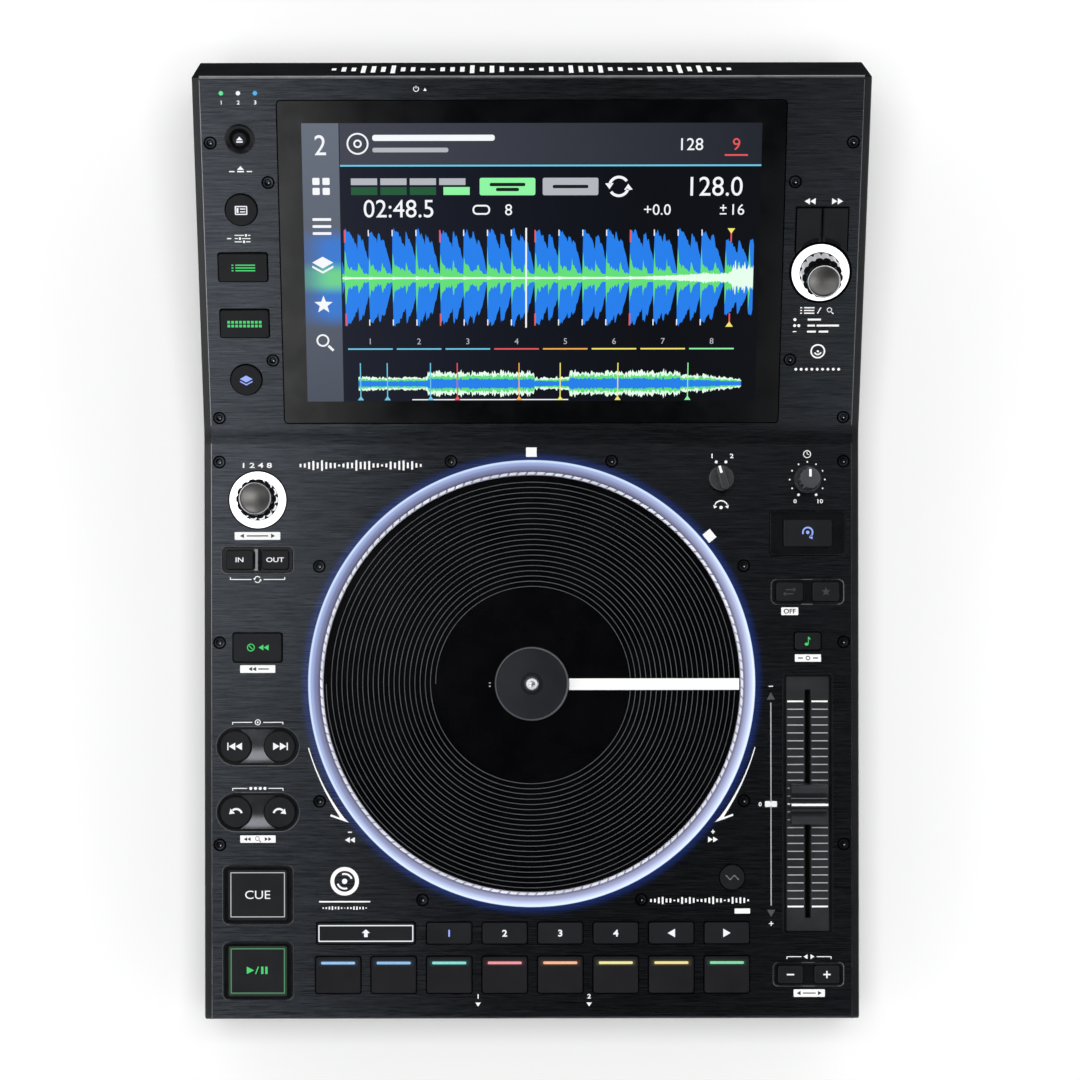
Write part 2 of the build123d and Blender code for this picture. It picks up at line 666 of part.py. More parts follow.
def build_touchscreen():
    """Cover glass with the display module and its steel bracket behind it."""
    glass = prism(glass_outline(), -0.1 - GLASS, -0.1)
    glass = chamfer(top_edges(glass), 0.25)
    middle = (GLASS_FROM + GLASS_TO) / 2
    module = Pos(0, middle) * rounded(234, 148, 2)
    module = prism(module, -8.5, -0.1 - GLASS)
    bracket = Pos(0, middle) * rounded(236, 150, 2)
    bracket = prism(bracket, -10.0, -8.5)
    for x, y in mirrored_pairs(DISPLAY_SCREWS):
        sign = 1 if x > 0 else -1
        arm = Pos(x - sign * 5, y) * rounded(20, 9, 2)
        bracket += prism(arm, -10.0, -8.5)
        pillar = Pos(x, y) * Circle(3.4)
        bracket += prism(pillar, -10.0, -DECK_SHEET)
        bracket -= prism(Pos(x, y) * Circle(SHANK_RADIUS), -11, 0)
    return [display_deck.location * piece for piece in (glass, module, bracket)]


def build_light_rings():
    """Diffuser rings around the platter and the two encoders."""
    platter_ring = turned(
        [
            (LIGHT_INNER, -4.0),
            (LIGHT_INNER, 0.9),
            (LIGHT_INNER + 1.2, 2.4),
            (LIGHT_INNER + 2.6, LIGHT_RISE),
            (LIGHT_OUTER - 1.3, 2.2),
            (LIGHT_OUTER, 0.6),
            (LIGHT_OUTER, 0),
            (LIGHT_SEAT, 0),
            (LIGHT_SEAT, -4.0),
        ]
    )
    knob_ring = turned(
        [
            (RING_INNER, -DECK_SHEET),
            (RING_INNER, RING_RISE - 0.2),
            (RING_INNER + 0.2, RING_RISE),
            (RING_OUTER - 0.4, RING_RISE),
            (RING_OUTER, RING_RISE - 0.4),
            (RING_OUTER, 0),
            (RING_OUTER - 0.5, 0),
            (RING_OUTER - 0.5, -DECK_SHEET),
        ]
    )
    return [
        put(control_deck, *PLATTER_XY, platter_ring),
        put(control_deck, *LOOP_XY, knob_ring),
        put(display_deck, *SELECT_XY, knob_ring),
    ]


# --------------------------------------------------------- platter and motor
def build_platter():
    """Cast platter with its hollow shaft and the rotor cup underneath."""
    bore = SHAFT_RADIUS + FIT
    return put(
        control_deck,
        *PLATTER_XY,
        turned(
            [
                (bore, -33.5),
                (BEARING_RADIUS, -33.5),
                (BEARING_RADIUS, 0),
                (40.0, 0),
                (40.0, -29.0),
                (44.5, -29.0),
                (44.5, 0),
                (98.5, 0),
                (98.5, -10.0),
                (PLATTER_RADIUS, -10.0),
                (PLATTER_RADIUS, 2.6),
                (PLATTER_RADIUS - 1.6, PLATTER_TOP),
                (bore, PLATTER_TOP),
            ]
        ),
    )


def build_disc():
    edge = 0.5
    return put(
        control_deck,
        *PLATTER_XY,
        turned(
            [
                (SPINDLE_RADIUS, DISC_BOTTOM),
                (DISC_RADIUS - edge, DISC_BOTTOM),
                (DISC_RADIUS, DISC_BOTTOM + edge),
                (DISC_RADIUS, DISC_TOP - edge),
                (DISC_RADIUS - edge, DISC_TOP),
                (SPINDLE_RADIUS, DISC_TOP),
            ]
        ),
    )


def build_hub():
    """Clamping hub on the disc, and the spindle with its encoder wheel."""
    hub = turned(
        [
            (SHAFT_RADIUS, DISC_TOP),
            (HUB_RADIUS, DISC_TOP),
            (HUB_RADIUS, HUB_TOP - 1.6),
            (HUB_RADIUS - 1.1, HUB_TOP),
            (6.2, HUB_TOP),
            (5.6, HUB_TOP - 0.8),
            (SHAFT_RADIUS, HUB_TOP - 0.8),
        ]
    )
    tip = prism(Circle(SPINDLE_RADIUS), HUB_TOP - 0.8, SPINDLE_TOP)
    tip = fillet(top_edges(tip), 2.6)
    spindle = prism(Circle(SHAFT_RADIUS), -36.0, HUB_TOP) + tip
    wheel = prism(Circle(10.0), -37.5, -36.0)
    return [put(control_deck, *PLATTER_XY, piece) for piece in (hub, spindle, wheel)]


def well_lug(x, y):
    """An ear on the well, under one of the deck's screws, in the platter's frame."""
    away_x = x - PLATTER_XY[0]
    away_y = y - PLATTER_XY[1]
    length = hypot(away_x, away_y) + 5.5 - WELL_INNER
    ear = Pos(WELL_INNER + length / 2, 0, -DECK_SHEET - 1.5) * Box(length, 10, 3)
    ear = Rot(0, 0, degrees(atan2(away_y, away_x))) * ear
    return ear - Pos(away_x, away_y, 0) * prism(Circle(SHANK_RADIUS), -10, 0)


def build_motor():
    """The well under the platter, the wound stator and the bearing sleeve."""
    sleeve_radius = 11.0
    well = turned(
        [
            (sleeve_radius, WELL_FLOOR),
            (WELL_OUTER, WELL_FLOOR),
            (WELL_OUTER, -DECK_SHEET),
            (WELL_INNER, -DECK_SHEET),
            (WELL_INNER, WELL_FLOOR + 2),
            (sleeve_radius, WELL_FLOOR + 2),
        ]
    )
    core = turned([(14, -6.5), (22, -6.5), (22, 6.5), (14, 6.5)])
    for turn in range(12):
        tooth = Pos(28, 0, 0) * Box(14, 4.4, 11)
        shoe = Pos(36, 0, 0) * Box(3, 9.0, 13)
        core += Rot(0, 0, 30 * turn) * (tooth + shoe)
    core = Pos(0, 0, WELL_FLOOR + 2 + 6.5) * core
    sleeve = turned(
        [
            (BEARING_RADIUS + FIT, WELL_FLOOR),
            (sleeve_radius, WELL_FLOOR),
            (sleeve_radius, WELL_FLOOR + 2),
            (14, WELL_FLOOR + 2),
            (14, WELL_FLOOR + 15),
            (sleeve_radius, WELL_FLOOR + 15),
            (sleeve_radius, -5.0),
            (BEARING_RADIUS + FIT, -5.0),
        ]
    )
    for x, y in mirrored_pairs(WELL_SCREWS):
        well += well_lug(x, y)
    return [put(control_deck, *PLATTER_XY, piece) for piece in (well, core, sleeve)]


# --------------------------------------------------------------- encoders
def d_outline(radius, flat):
    """A round outline with one flat."""
    cut = Pos(0, flat + radius) * Rectangle(4 * radius, 2 * radius)
    return Circle(radius) - cut


def build_encoder_rotor(deck, x, y):
    """The turning core of an encoder, keyed to the knob's stem by a flat."""
    bore = d_outline(STEM_RADIUS + FIT, STEM_FLAT + FIT)
    rotor = prism(Circle(ROTOR_RADIUS), ROTOR_BOTTOM, -6.0) - prism(bore, ROTOR_BOTTOM - 1, 0)
    return put(deck, x, y, rotor)


def build_encoder_knob(deck, x, y):
    """Lobed grip with a turned metal cap, on a stem with a flat."""
    grip = Circle(GRIP_RADIUS)
    for turn in range(LOBE_COUNT):
        grip += Rot(0, 0, turn * 360 / LOBE_COUNT) * Pos(GRIP_RADIUS - 0.75, 0) * Circle(LOBE_RADIUS)
    body = prism(grip, 1.2, GRIP_HEIGHT)
    cap = turned(
        [
            (0, GRIP_HEIGHT),
            (CAP_RADIUS, GRIP_HEIGHT),
            (CAP_RADIUS - 0.2, KNOB_HEIGHT - 0.6),
            (CAP_RADIUS - 0.8, KNOB_HEIGHT),
            (CAP_RADIUS - 1.4, KNOB_HEIGHT - 0.4),
            (0, KNOB_HEIGHT - 1.0),
        ]
    )
    stem_end = ROTOR_BOTTOM + PUSH_TRAVEL + 0.2
    stem = prism(d_outline(STEM_RADIUS, STEM_FLAT), stem_end, 1.3)
    return put(deck, x, y, body + cap + stem)


# ------------------------------------------------------------------- pots
def build_torque_knob():
    """Round knob with a finger bar; its pointer rests at the left mark."""
    base = prism(Circle(6.1), 0.8, 4.2)
    base = fillet(top_edges(base), 0.6)
    bar = prism(SlotOverall(11.9, 4.0, rotation=90), 4.0, 13.0)
    bar = fillet(top_edges(bar), 0.8)
    stem = prism(Circle(POT_STEM), -11.0, 1.0)
    knob = Rot(0, 0, TORQUE_ANGLE) * (base + bar) + stem
    return put(control_deck, *TORQUE_XY, knob)


def build_stop_knob():
    """Fluted knob on a round skirt."""
    skirt = turned([(0, 0.8), (6.7, 0.8), (6.7, 2.0), (5.6, 3.6), (0, 3.6)])
    body = turned([(0, 3.5), (5.5, 3.5), (4.8, 15.6), (4.3, 16.0), (0, 16.0)])
    for turn in range(18):
        flute = Rot(0, 0, turn * 20) * Pos(5.75, 0, 9.2) * Rot(0, -3.3, 0) * Cylinder(0.6, 11.0)
        body -= flute
    stem = prism(Circle(POT_STEM), -11.0, 1.0)
    return put(control_deck, *STOP_XY, skirt + body + stem)


# ------------------------------------------------------------ pitch fader
CARRIAGE = (10.0, 10.0, 3.0)
TRACK_TOP = -7.0
TRACK_BOTTOM = -16.0


def build_fader_cap():
    """Cap with raised ends and a centre ridge, and its blade and carriage."""
    half = CAP_SIZE[1] / 2
    side = [
        (-half, 1.2),
        (-half + 0.4, 10.6),
        (-half + 1.4, 11.8),
        (-half + 4.2, 11.0),
        (-3.4, 8.2),
        (-2.2, 8.0),
        (-1.3, 11.2),
    ]
    outline = side + [(-y, z) for y, z in reversed(side)]
    cap = profile_solid(outline, -CAP_SIZE[0] / 2, CAP_SIZE[0] / 2)
    ends = cap.edges().filter_by(GeomType.LINE).filter_by(Axis.X).group_by(Axis.Z)[-1]
    cap = fillet(ends, 0.5)
    blade = Pos(0, 0, -5.4) * Box(1.5, 8.0, 13.6)
    carriage = Pos(0, 0, -12.2) * Box(*CARRIAGE)
    return put(control_deck, RIGHT_X, FADER_Y, cap + blade + carriage)


def build_fader_track():
    """The slide potentiometer's steel channel."""
    channel = block(-7, 7, -64, 64, TRACK_BOTTOM, TRACK_TOP)
    run = FADER_TRAVEL + CARRIAGE[1] / 2 + 3
    slot = FADER_SLOT[0] / 2
    channel -= block(-5.5, 5.5, -run, run, TRACK_BOTTOM + 1.2, TRACK_TOP - 1.2)
    channel -= block(-slot, slot, 2 - run, run - 2, TRACK_TOP - 2, TRACK_TOP + 1)
    return put(control_deck, RIGHT_X, FADER_Y, channel)


# ------------------------------------------------------------- electronics
def pot_body(deck, x, y):
    shell = prism(rounded(12, 12, 1), -13.0, -6.5)
    return put(deck, x, y, shell - prism(Circle(POT_STEM + FIT), -14, 0))


def encoder_body(deck, x, y):
    shell = prism(rounded(15, 15, 1), ROTOR_BOTTOM - 1.1, -6.2)
    shell -= prism(Circle(ROTOR_RADIUS + FIT), ROTOR_BOTTOM - 0.1, 0)
    return put(deck, x, y, shell)


def build_electronics():
    """Boards, switches, power supply, fader channel and light pipes."""
    pieces = []
    low = BOARD_TOP - BOARD
    left = block(-147, -112.5, -226, 8, low, BOARD_TOP)
    right = block(115, 147, -38, 12, low, BOARD_TOP)
    key_row = block(-110, 110, -226, -184, low, BOARD_TOP)
    corner = block(124, 147, -226, -196, low, BOARD_TOP)
    slip = block(90, 106, -171, -155, low, BOARD_TOP)
    lock = block(127, 143, -56, -40, low, BOARD_TOP)
    pieces += [control_deck.location * board for board in (left, right, key_row, corner, slip, lock)]
    side = block(-148, -131.5, 15, 153, low, BOARD_TOP)
    pieces.append(display_deck.location * side)
    encoder_board = block(129, 148, 96, 116, low, BOARD_TOP)
    pieces.append(display_deck.location * encoder_board)
    for key in KEYS:
        switch = prism(Circle(2.0), BOARD_TOP, BOARD_TOP + SWITCH_HEIGHT)
        pieces.append(put(key.deck, key.x, key.y, switch))
    for side_x in (-6.0, 6.0):
        switch = prism(Circle(1.6), BOARD_TOP, BOARD_TOP + SWITCH_HEIGHT)
        pieces.append(put(display_deck, SIDE_KEY_X + side_x, 104.0, switch))
    pieces.append(encoder_body(control_deck, *LOOP_XY))
    pieces.append(encoder_body(display_deck, *SELECT_XY))
    pieces.append(pot_body(control_deck, *TORQUE_XY))
    pieces.append(pot_body(control_deck, *STOP_XY))
    pieces.append(build_fader_track())
    for x, y in LED_PLACES:
        pieces.append(put(display_deck, x, y, prism(Circle(LED_RADIUS), -5.0, 0.15)))
    # Main board on pillars, with its heat sink, and the caged power supply.
    pieces.append(block(-60, 145, 62, 205, 14.0, 15.6))
    for x, y in ((-54, 68), (139, 68), (-54, 199), (139, 199)):
        pieces.append(Pos(x, y, 0) * prism(Circle(3.0), FLOOR_TOP, 14.0))
    fins = block(10, 60, 110, 160, 15.6, 19.0)
    for step in range(9):
        x = 12 + step * 5.6
        fins += block(x, x + 1.6, 110, 160, 18.9, 36.0)
    pieces.append(fins)
    pieces.append(block(-150, -72, 70, 195, FLOOR_TOP, 44.0))
    power_switch = prism(rounded(13, 13, 1), -22.0, -8.0)
    pieces.append(facing_rear(*POWER_BUTTON_XZ, power_switch))
    return pieces


def build_power_button():
    """Round push button in the connector wall."""
    cap = prism(Circle(BUTTON_RADIUS), -5.0, 2.4)
    cap = fillet(top_edges(cap), 0.6)
    cap += prism(Circle(BUTTON_RADIUS + 1.2), -5.0, -FLOOR_SHEET - 0.3)
    return facing_rear(*POWER_BUTTON_XZ, cap)


# ------------------------------------------------------------------ output
def save(name, shape):
    """Write one node; a list of solids becomes one compound."""
    if isinstance(shape, list):
        shape = Compound(children=[solid for piece in shape for solid in piece.solids()])
    export_step(shape, f"parts/{name}.step")


def build_all():
    nodes = {
        "top_panel": build_top_panel(),
        "body_case": build_body_case(),
        "chassis": build_chassis(),
        "touchscreen": build_touchscreen(),
        "light_rings": build_light_rings(),
        "key_bezels": build_bezels(),
        "platter_motor": build_motor(),
        "electronics": build_electronics(),
        "rubber_feet": build_feet(),
        "case_screws": build_screws(),
        "sockets": build_sockets(),
        "platter": build_platter(),
        "vinyl_disc": build_disc(),
        "disc_hub": build_hub(),
        "loop_encoder_rotor": build_encoder_rotor(control_deck, *LOOP_XY),
        "loop_knob": build_encoder_knob(control_deck, *LOOP_XY),
        "select_encoder_rotor": build_encoder_rotor(display_deck, *SELECT_XY),
        "select_knob": build_encoder_knob(display_deck, *SELECT_XY),
        "torque_knob": build_torque_knob(),
        "stop_time_knob": build_stop_knob(),
        "pitch_fader_cap": build_fader_cap(),
        "power_button": build_power_button(),
        "browse_back_button": put(display_deck, *SELECT_XY, side_key(-1)),
        "browse_forward_button": put(display_deck, *SELECT_XY, side_key(1)),
    }
    for key in KEYS:
        nodes[key.name] = put(key.deck, key.x, key.y, key.solid())
    return nodes


for node_name, node_shape in build_all().items():
    save(node_name, node_shape)
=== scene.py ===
# %% [markdown]
# A tabletop media player for DJs: a wedge of black brushed aluminium with a tilted touchscreen, a
# motor-driven platter in a ring of light, pads, transport keys, knobs and a pitch slider.
#
# The construction model comes in first and stays where it is. Everything after it is finish:
# materials for the construction parts, and new pieces that ride on them.

# %% Load the frame
from math import atan2, cos, pi, radians, sin, sqrt

import bmesh
import bpy
from mathutils import Matrix, Vector, noise


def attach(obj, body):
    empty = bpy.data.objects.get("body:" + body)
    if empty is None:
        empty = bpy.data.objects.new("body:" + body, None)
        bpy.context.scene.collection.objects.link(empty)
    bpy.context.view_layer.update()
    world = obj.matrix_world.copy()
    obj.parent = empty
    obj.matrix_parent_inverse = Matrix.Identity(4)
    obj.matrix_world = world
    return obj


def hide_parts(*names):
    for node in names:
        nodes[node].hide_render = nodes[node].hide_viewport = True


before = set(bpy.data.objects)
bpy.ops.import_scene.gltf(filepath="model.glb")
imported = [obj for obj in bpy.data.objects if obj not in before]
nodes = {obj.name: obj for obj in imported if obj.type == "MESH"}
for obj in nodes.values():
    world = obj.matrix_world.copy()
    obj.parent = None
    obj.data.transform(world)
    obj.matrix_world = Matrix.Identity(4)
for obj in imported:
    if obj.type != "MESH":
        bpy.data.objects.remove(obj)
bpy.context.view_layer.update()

# %% [markdown]

# %% [markdown]
# The scene is in metres, but places on the decks are easier to read in millimetres. `at` and `up`
# take millimetres along the control deck and the display deck, which leans back from the bend.
# They give a matrix that also scales a shape drawn in millimetres down to metres. A matrix is
# used, rather than an object's location, because a finished piece keeps its place in its mesh.

# %% Places on the two decks
MM = 0.001
DECK_HEIGHT = 54.0
BEND_Y = 54.0
TILT = radians(20.4)

control_deck = Matrix.Translation((0, 0, DECK_HEIGHT * MM))
display_deck = Matrix.Translation((0, BEND_Y * MM, DECK_HEIGHT * MM)) @ Matrix.Rotation(TILT, 4, "X")


def on_deck(deck, x, y, above=0.0, turn=0.0):
    """The place of a shape drawn in millimetres: x, y along the deck, a height and a turn."""
    shift = Matrix.Translation((x * MM, y * MM, above * MM))
    return deck @ shift @ Matrix.Rotation(turn, 4, "Z") @ Matrix.Scale(MM, 4)


def at(x, y, turn=0.0, above=0.0):
    """A place on the control deck, its turn in degrees."""
    return on_deck(control_deck, x, y, above, radians(turn))


def up(x, y, turn=0.0, above=0.0):
    """A place on the display deck, its turn in degrees."""
    return on_deck(display_deck, x, y, above, radians(turn))


PLATTER_XY = (0.0, -68.0)
platter_place = at(*PLATTER_XY)
print("platter axis", platter_place.to_translation())

# %% [markdown]
# The camera looks straight down from about a metre and a half above the deck, as for a catalogue
# picture. Its axis meets the table in front of the body's middle, and the lens shift brings the
# body back into the frame without turning the camera.

# %% Camera
camera_data = bpy.data.cameras.new("camera")
camera_data.sensor_fit = "HORIZONTAL"
camera_data.sensor_width = 36.0
camera_data.lens = 106.3
camera_data.shift_x = 0.0324
camera_data.shift_y = 0.1019
camera = bpy.data.objects.new("camera", camera_data)
camera.location = (-0.0130, -0.0516, 1.614)
camera.rotation_euler = (0, 0, -0.00143)
bpy.context.scene.collection.objects.link(camera)
bpy.context.scene.camera = camera
bpy.context.scene.view_settings.view_transform = "Standard"
print("camera at", tuple(camera.location))

# %% [markdown]
# Materials are node graphs. They could be joined by hand in the editor, but a script that names
# each input is easier to read and to change. `add` makes one node with its settings and inputs,
# where an input is a plain value or another node's output, so a graph reads from its first node to
# its last.

# %% A short way to write a node
def feed(tree, node, inputs):
    """Fill a node's inputs, each with a value or another node's output."""
    for name, value in inputs.items():
        if isinstance(value, bpy.types.NodeSocket):
            tree.links.new(value, node.inputs[name])
        else:
            node.inputs[name].default_value = value
    return node


def add(tree, kind, inputs=None, **settings):
    """A shader node with its settings and its inputs."""
    node = tree.nodes.new("ShaderNode" + kind)
    for name, value in settings.items():
        setattr(node, name, value)
    return feed(tree, node, inputs or {})


def calc(tree, operation, first, second=0.0, clamp=False):
    """One sum on one or two numbers."""
    return add(tree, "Math", {0: first, 1: second}, operation=operation, use_clamp=clamp).outputs[0]


def times(tree, first, second):
    return calc(tree, "MULTIPLY", first, second)


def remap(tree, value, low, high, to_low=0.0, to_high=1.0, shape="LINEAR"):
    """A number's place between two limits, as a place between two others."""
    inputs = {"Value": value, "From Min": low, "From Max": high, "To Min": to_low, "To Max": to_high}
    return add(tree, "MapRange", inputs, interpolation_type=shape).outputs["Result"]


def mix(tree, factor, low, high):
    """A colour between two others."""
    return add(tree, "Mix", {0: factor, 6: low, 7: high}, data_type="RGBA").outputs[2]


def axes_of(tree, vector):
    """The three parts of a vector."""
    return add(tree, "SeparateXYZ", {0: vector}).outputs


def tone(red, green, blue):
    """A colour given as it is seen on a display, 0 to 255, made linear."""
    shares = [value / 255 for value in (red, green, blue)]
    return (*(s / 12.92 if s <= 0.04045 else ((s + 0.055) / 1.055) ** 2.4 for s in shares), 1.0)


def scaled(colour, gain):
    return (*(channel * gain for channel in colour[:3]), 1.0)


print("mid grey is", round(tone(128, 128, 128)[0], 3))

# %% [markdown]
# A pattern has to stay on its piece when the piece moves, so every graph starts from the piece's
# own coordinates, in millimetres. `local` takes them to a place's own axes, so a ring or a border
# can be told by its distance from the middle.

# %% Coordinates of a place
def local(tree, place=Matrix.Scale(MM, 4)):
    """The piece's coordinates in millimetres, seen from a place."""
    point, turn, size = place.inverted().decompose()
    where = add(tree, "TexCoord").outputs["Object"]
    inputs = {"Vector": where, "Location": point, "Rotation": turn.to_euler(), "Scale": size}
    return add(tree, "Mapping", inputs, vector_type="POINT").outputs[0]


def start_group(name, outputs, inputs=()):
    """An empty node group that takes a vector. Its other sockets are numbers, or a colour."""
    group = bpy.data.node_groups.new(name, "ShaderNodeTree")
    group.interface.new_socket("Vector", in_out="INPUT", socket_type="NodeSocketVector")
    for way, labels in (("INPUT", inputs), ("OUTPUT", outputs)):
        for label in labels:
            kind = "Color" if label == "Color" else "Float"
            group.interface.new_socket(label, in_out=way, socket_type="NodeSocket" + kind)
    return group, group.nodes.new("NodeGroupInput"), group.nodes.new("NodeGroupOutput")


def use_group(tree, group, where, **inputs):
    """A group's outputs at some coordinates."""
    node = tree.nodes.new("ShaderNodeGroup")
    node.node_tree = group
    return feed(tree, node, {"Vector": where, **inputs}).outputs


print("coordinates are in steps of", MM, "m")

# %% [markdown]
# Moulded plastic is never one even tone: its skin has a fine grain from the mould, and a gloss
# that drifts slowly from place to place. A picture could give both, but two noises at different
# scales never repeat and need no unwrapping. This effect and the next two return in many finishes,
# so each is a node group that is built once.

# %% Group: moulded grain
grain_group, source, sink = start_group("moulded_grain", ("Cloud", "Height"), ("Grains",))
where, grains = source.outputs[:2]
fine = add(grain_group, "TexNoise", {"Vector": where, "Scale": grains, "Detail": 2.0})
cloud = add(grain_group, "TexNoise", {"Vector": where, "Scale": 0.06, "Detail": 4.0, "Roughness": 0.6})
cloudy = remap(grain_group, cloud.outputs[0], 0.3, 0.7)
feed(grain_group, sink, {"Cloud": cloudy, "Height": fine.outputs[0]})
print("group", grain_group.name)

# %% [markdown]
# Brushing leaves long scratches from side to side, over wider and fainter bands. Noise gives them
# when its coordinates run slowly along the scratch and fast across it. Two of them, one fine and
# one broad, keep the sheet from looking even.

# %% Group: brushed streaks
STREAK_SHAPE = (0.07, 3.4, 1.2)
BAND_SHAPE = (0.02, 1.1, 0.3)


def stretched_noise(tree, vector, shape, detail, roughness=0.5):
    """Noise that is drawn out along some axes."""
    spot = add(tree, "VectorMath", {0: vector, 1: shape}, operation="MULTIPLY").outputs[0]
    inputs = {"Vector": spot, "Scale": 1.0, "Detail": detail, "Roughness": roughness}
    return add(tree, "TexNoise", inputs).outputs[0]


brush_group, source, sink = start_group("brushed_streaks", ("Streak", "Height"))
streak = stretched_noise(brush_group, source.outputs[0], STREAK_SHAPE, 3.0, 0.65)
band = stretched_noise(brush_group, source.outputs[0], BAND_SHAPE, 2.0)
total = calc(brush_group, "ADD", times(brush_group, streak, 0.8), times(brush_group, band, 0.2))
feed(brush_group, sink, {"Streak": remap(brush_group, total, 0.34, 0.66), "Height": streak})
print("group", brush_group.name)

# %% [markdown]
# Turned metal, pressed vinyl and the rings of light look alike all the way round. Their finish
# follows the distance from the axis, whatever the height, and the length of the flat part of the
# coordinates is that distance.

# %% Group: distance from an upright axis
axis_group, source, sink = start_group("from_axis", ("Radius",))
flat_part = add(axis_group, "VectorMath", {0: source.outputs[0], 1: (1.0, 1.0, 0.0)}, operation="MULTIPLY")
length = add(axis_group, "VectorMath", {0: flat_part.outputs[0]}, operation="LENGTH")
feed(axis_group, sink, {"Radius": length.outputs["Value"]})
print("group", axis_group.name)

# %% [markdown]
# A material is one Principled surface, whose sockets hold what a maker would say of a finish: its
# colour, its gloss, metal or not, and its glow. `surface` makes it, with a bump for relief that is
# too fine to model, and joins it to the output. `moulded` is the plain case, for plastic, rubber
# and cast metal, and `dress` gives a material to parts of the construction model.

# %% Surfaces
def start_material(name):
    material = bpy.data.materials.new(name)
    material.use_nodes = True
    material.node_tree.nodes.clear()
    return material, material.node_tree


def surface(tree, inputs, height=None, depth=0.02):
    """The Principled shader, with a bump of the given depth in millimetres."""
    if height is not None:
        bump = add(tree, "Bump", {"Height": height, "Strength": 1.0, "Distance": depth * MM})
        inputs = {**inputs, "Normal": bump.outputs[0]}
    shader = add(tree, "BsdfPrincipled", inputs)
    add(tree, "OutputMaterial", {"Surface": shader.outputs[0]})


def moulded(name, colour, roughness, grains=2.2, depth=0.02, spread=0.18, metallic=0.0, specular=0.5):
    """Moulded plastic, rubber or cast metal: fine grain, and a cloudy tone and gloss."""
    material, tree = start_material(name)
    grain = use_group(tree, grain_group, local(tree), Grains=grains)
    inputs = {
        "Base Color": mix(tree, grain["Cloud"], scaled(colour, 1 - spread), scaled(colour, 1 + spread)),
        "Roughness": remap(tree, grain["Cloud"], 0, 1, roughness - 0.04, roughness + 0.04),
        "Metallic": metallic,
        "Specular IOR Level": specular,
    }
    surface(tree, inputs, grain["Height"], depth)
    return material


def dress(material, *names):
    """Give construction parts a material."""
    for name in names:
        data = nodes[name].data
        data.materials.clear()
        data.materials.append(material)
    print(material.name, "on", len(names), "parts")


print("surface helpers are ready")

# %% [markdown]
# The top sheet is black anodised aluminium, brushed from side to side. Metal that is brushed shows
# long scratches whose tone and gloss change together, so one streak value drives colour,
# roughness and bump. Round the platter the sheet's own emission paints a blue glow. This is painted
# light that stands in for the ring's light spilling onto the sheet.

# %% Brushed sheet
RING_EDGE = 109.4
PAINTED_SPILL_REACH = 7.5
SHEET_DARK = tone(38, 41, 45)
SHEET_LIGHT = tone(78, 82, 88)
PAINTED_SPILL_BLUE = tone(14, 34, 88)

sheet_black, tree = start_material("brushed_black_aluminium")
brushed = use_group(tree, brush_group, local(tree))
radius = use_group(tree, axis_group, local(tree, platter_place))["Radius"]
# Painted glow: the sheet's own emission is blue at the ring's edge and fades outwards.
painted_spill = remap(tree, radius, RING_EDGE, RING_EDGE + PAINTED_SPILL_REACH, 1.0, 0.0, "SMOOTHERSTEP")
painted_spill = calc(tree, "POWER", painted_spill, 3.0)
surface(
    tree,
    {
        "Base Color": mix(tree, brushed["Streak"], SHEET_DARK, SHEET_LIGHT),
        "Metallic": 1.0,
        "Roughness": remap(tree, brushed["Streak"], 0, 1, 0.25, 0.30),
        "Anisotropic": 0.7,
        "Tangent": add(tree, "CombineXYZ", {1: 1.0}).outputs[0],
        "Emission Color": mix(tree, painted_spill, (0, 0, 0, 1), PAINTED_SPILL_BLUE),
        "Emission Strength": 1.0,
    },
    brushed["Height"],
    0.012,
)
dress(sheet_black, "top_panel")

# %% [markdown]
# The case, trays and keys are black mouldings that differ in gloss and grain, and the floor tray
# is powder coated, which is coarser. One recipe with other numbers keeps them one family, and
# small steps in tone and gloss tell them apart under the same light.

# %% Black mouldings
# The near black for gaps is painted shade, where light hardly reaches.
gap_shade_black = moulded("gap_shade_black", tone(4, 4, 5), 0.6, grains=3.0, specular=0.0)
plate_grain = moulded("plate_grain", tone(37, 38, 41), 0.5, 1.8, 0.03, spread=0.3, specular=0.2)
core_steel = moulded("core_steel", tone(170, 171, 174), 0.3, metallic=1.0)
dress(core_steel, "loop_encoder_rotor", "select_encoder_rotor")
dress(moulded("tray_black", tone(17, 18, 20), 0.2, grains=1.8, depth=0.006, specular=0.22), "key_bezels")
dress(moulded("pot_black", tone(46, 47, 50), 0.25, depth=0.01), "torque_knob", "stop_time_knob")
dress(moulded("fader_black", tone(34, 36, 40), 0.3, grains=3.0, depth=0.01), "pitch_fader_cap")
dress(moulded("powder_black", tone(30, 30, 32), 0.55, grains=0.9, depth=0.05), "chassis")
dress(moulded("foot_rubber", tone(22, 22, 22), 0.8, grains=1.4, depth=0.04), "rubber_feet")
dress(moulded("socket_black", tone(20, 20, 21), 0.34), "sockets")
dress(moulded("cast_grey", tone(150, 152, 156), 0.45, 0.8, 0.06, metallic=1.0), "platter_motor")
key_names = [name for name in nodes if name.endswith("_button") or name.startswith("pad_")]
dress(moulded("key_black", tone(25, 26, 29), 0.4, grains=2.4, depth=0.012, specular=0.14), *key_names)

# %% [markdown]
# The boards are green, and all that stands over them, such as key switches, encoders and the slide
# channel, is nearly black. All of it is one part with one material, so the material tells the
# boards from the rest by their depth under the two decks, and the slide channel by its place.

# %% Electronics
BOARD_DEPTH = 8.7
CHANNEL = (118.0, -60.0)

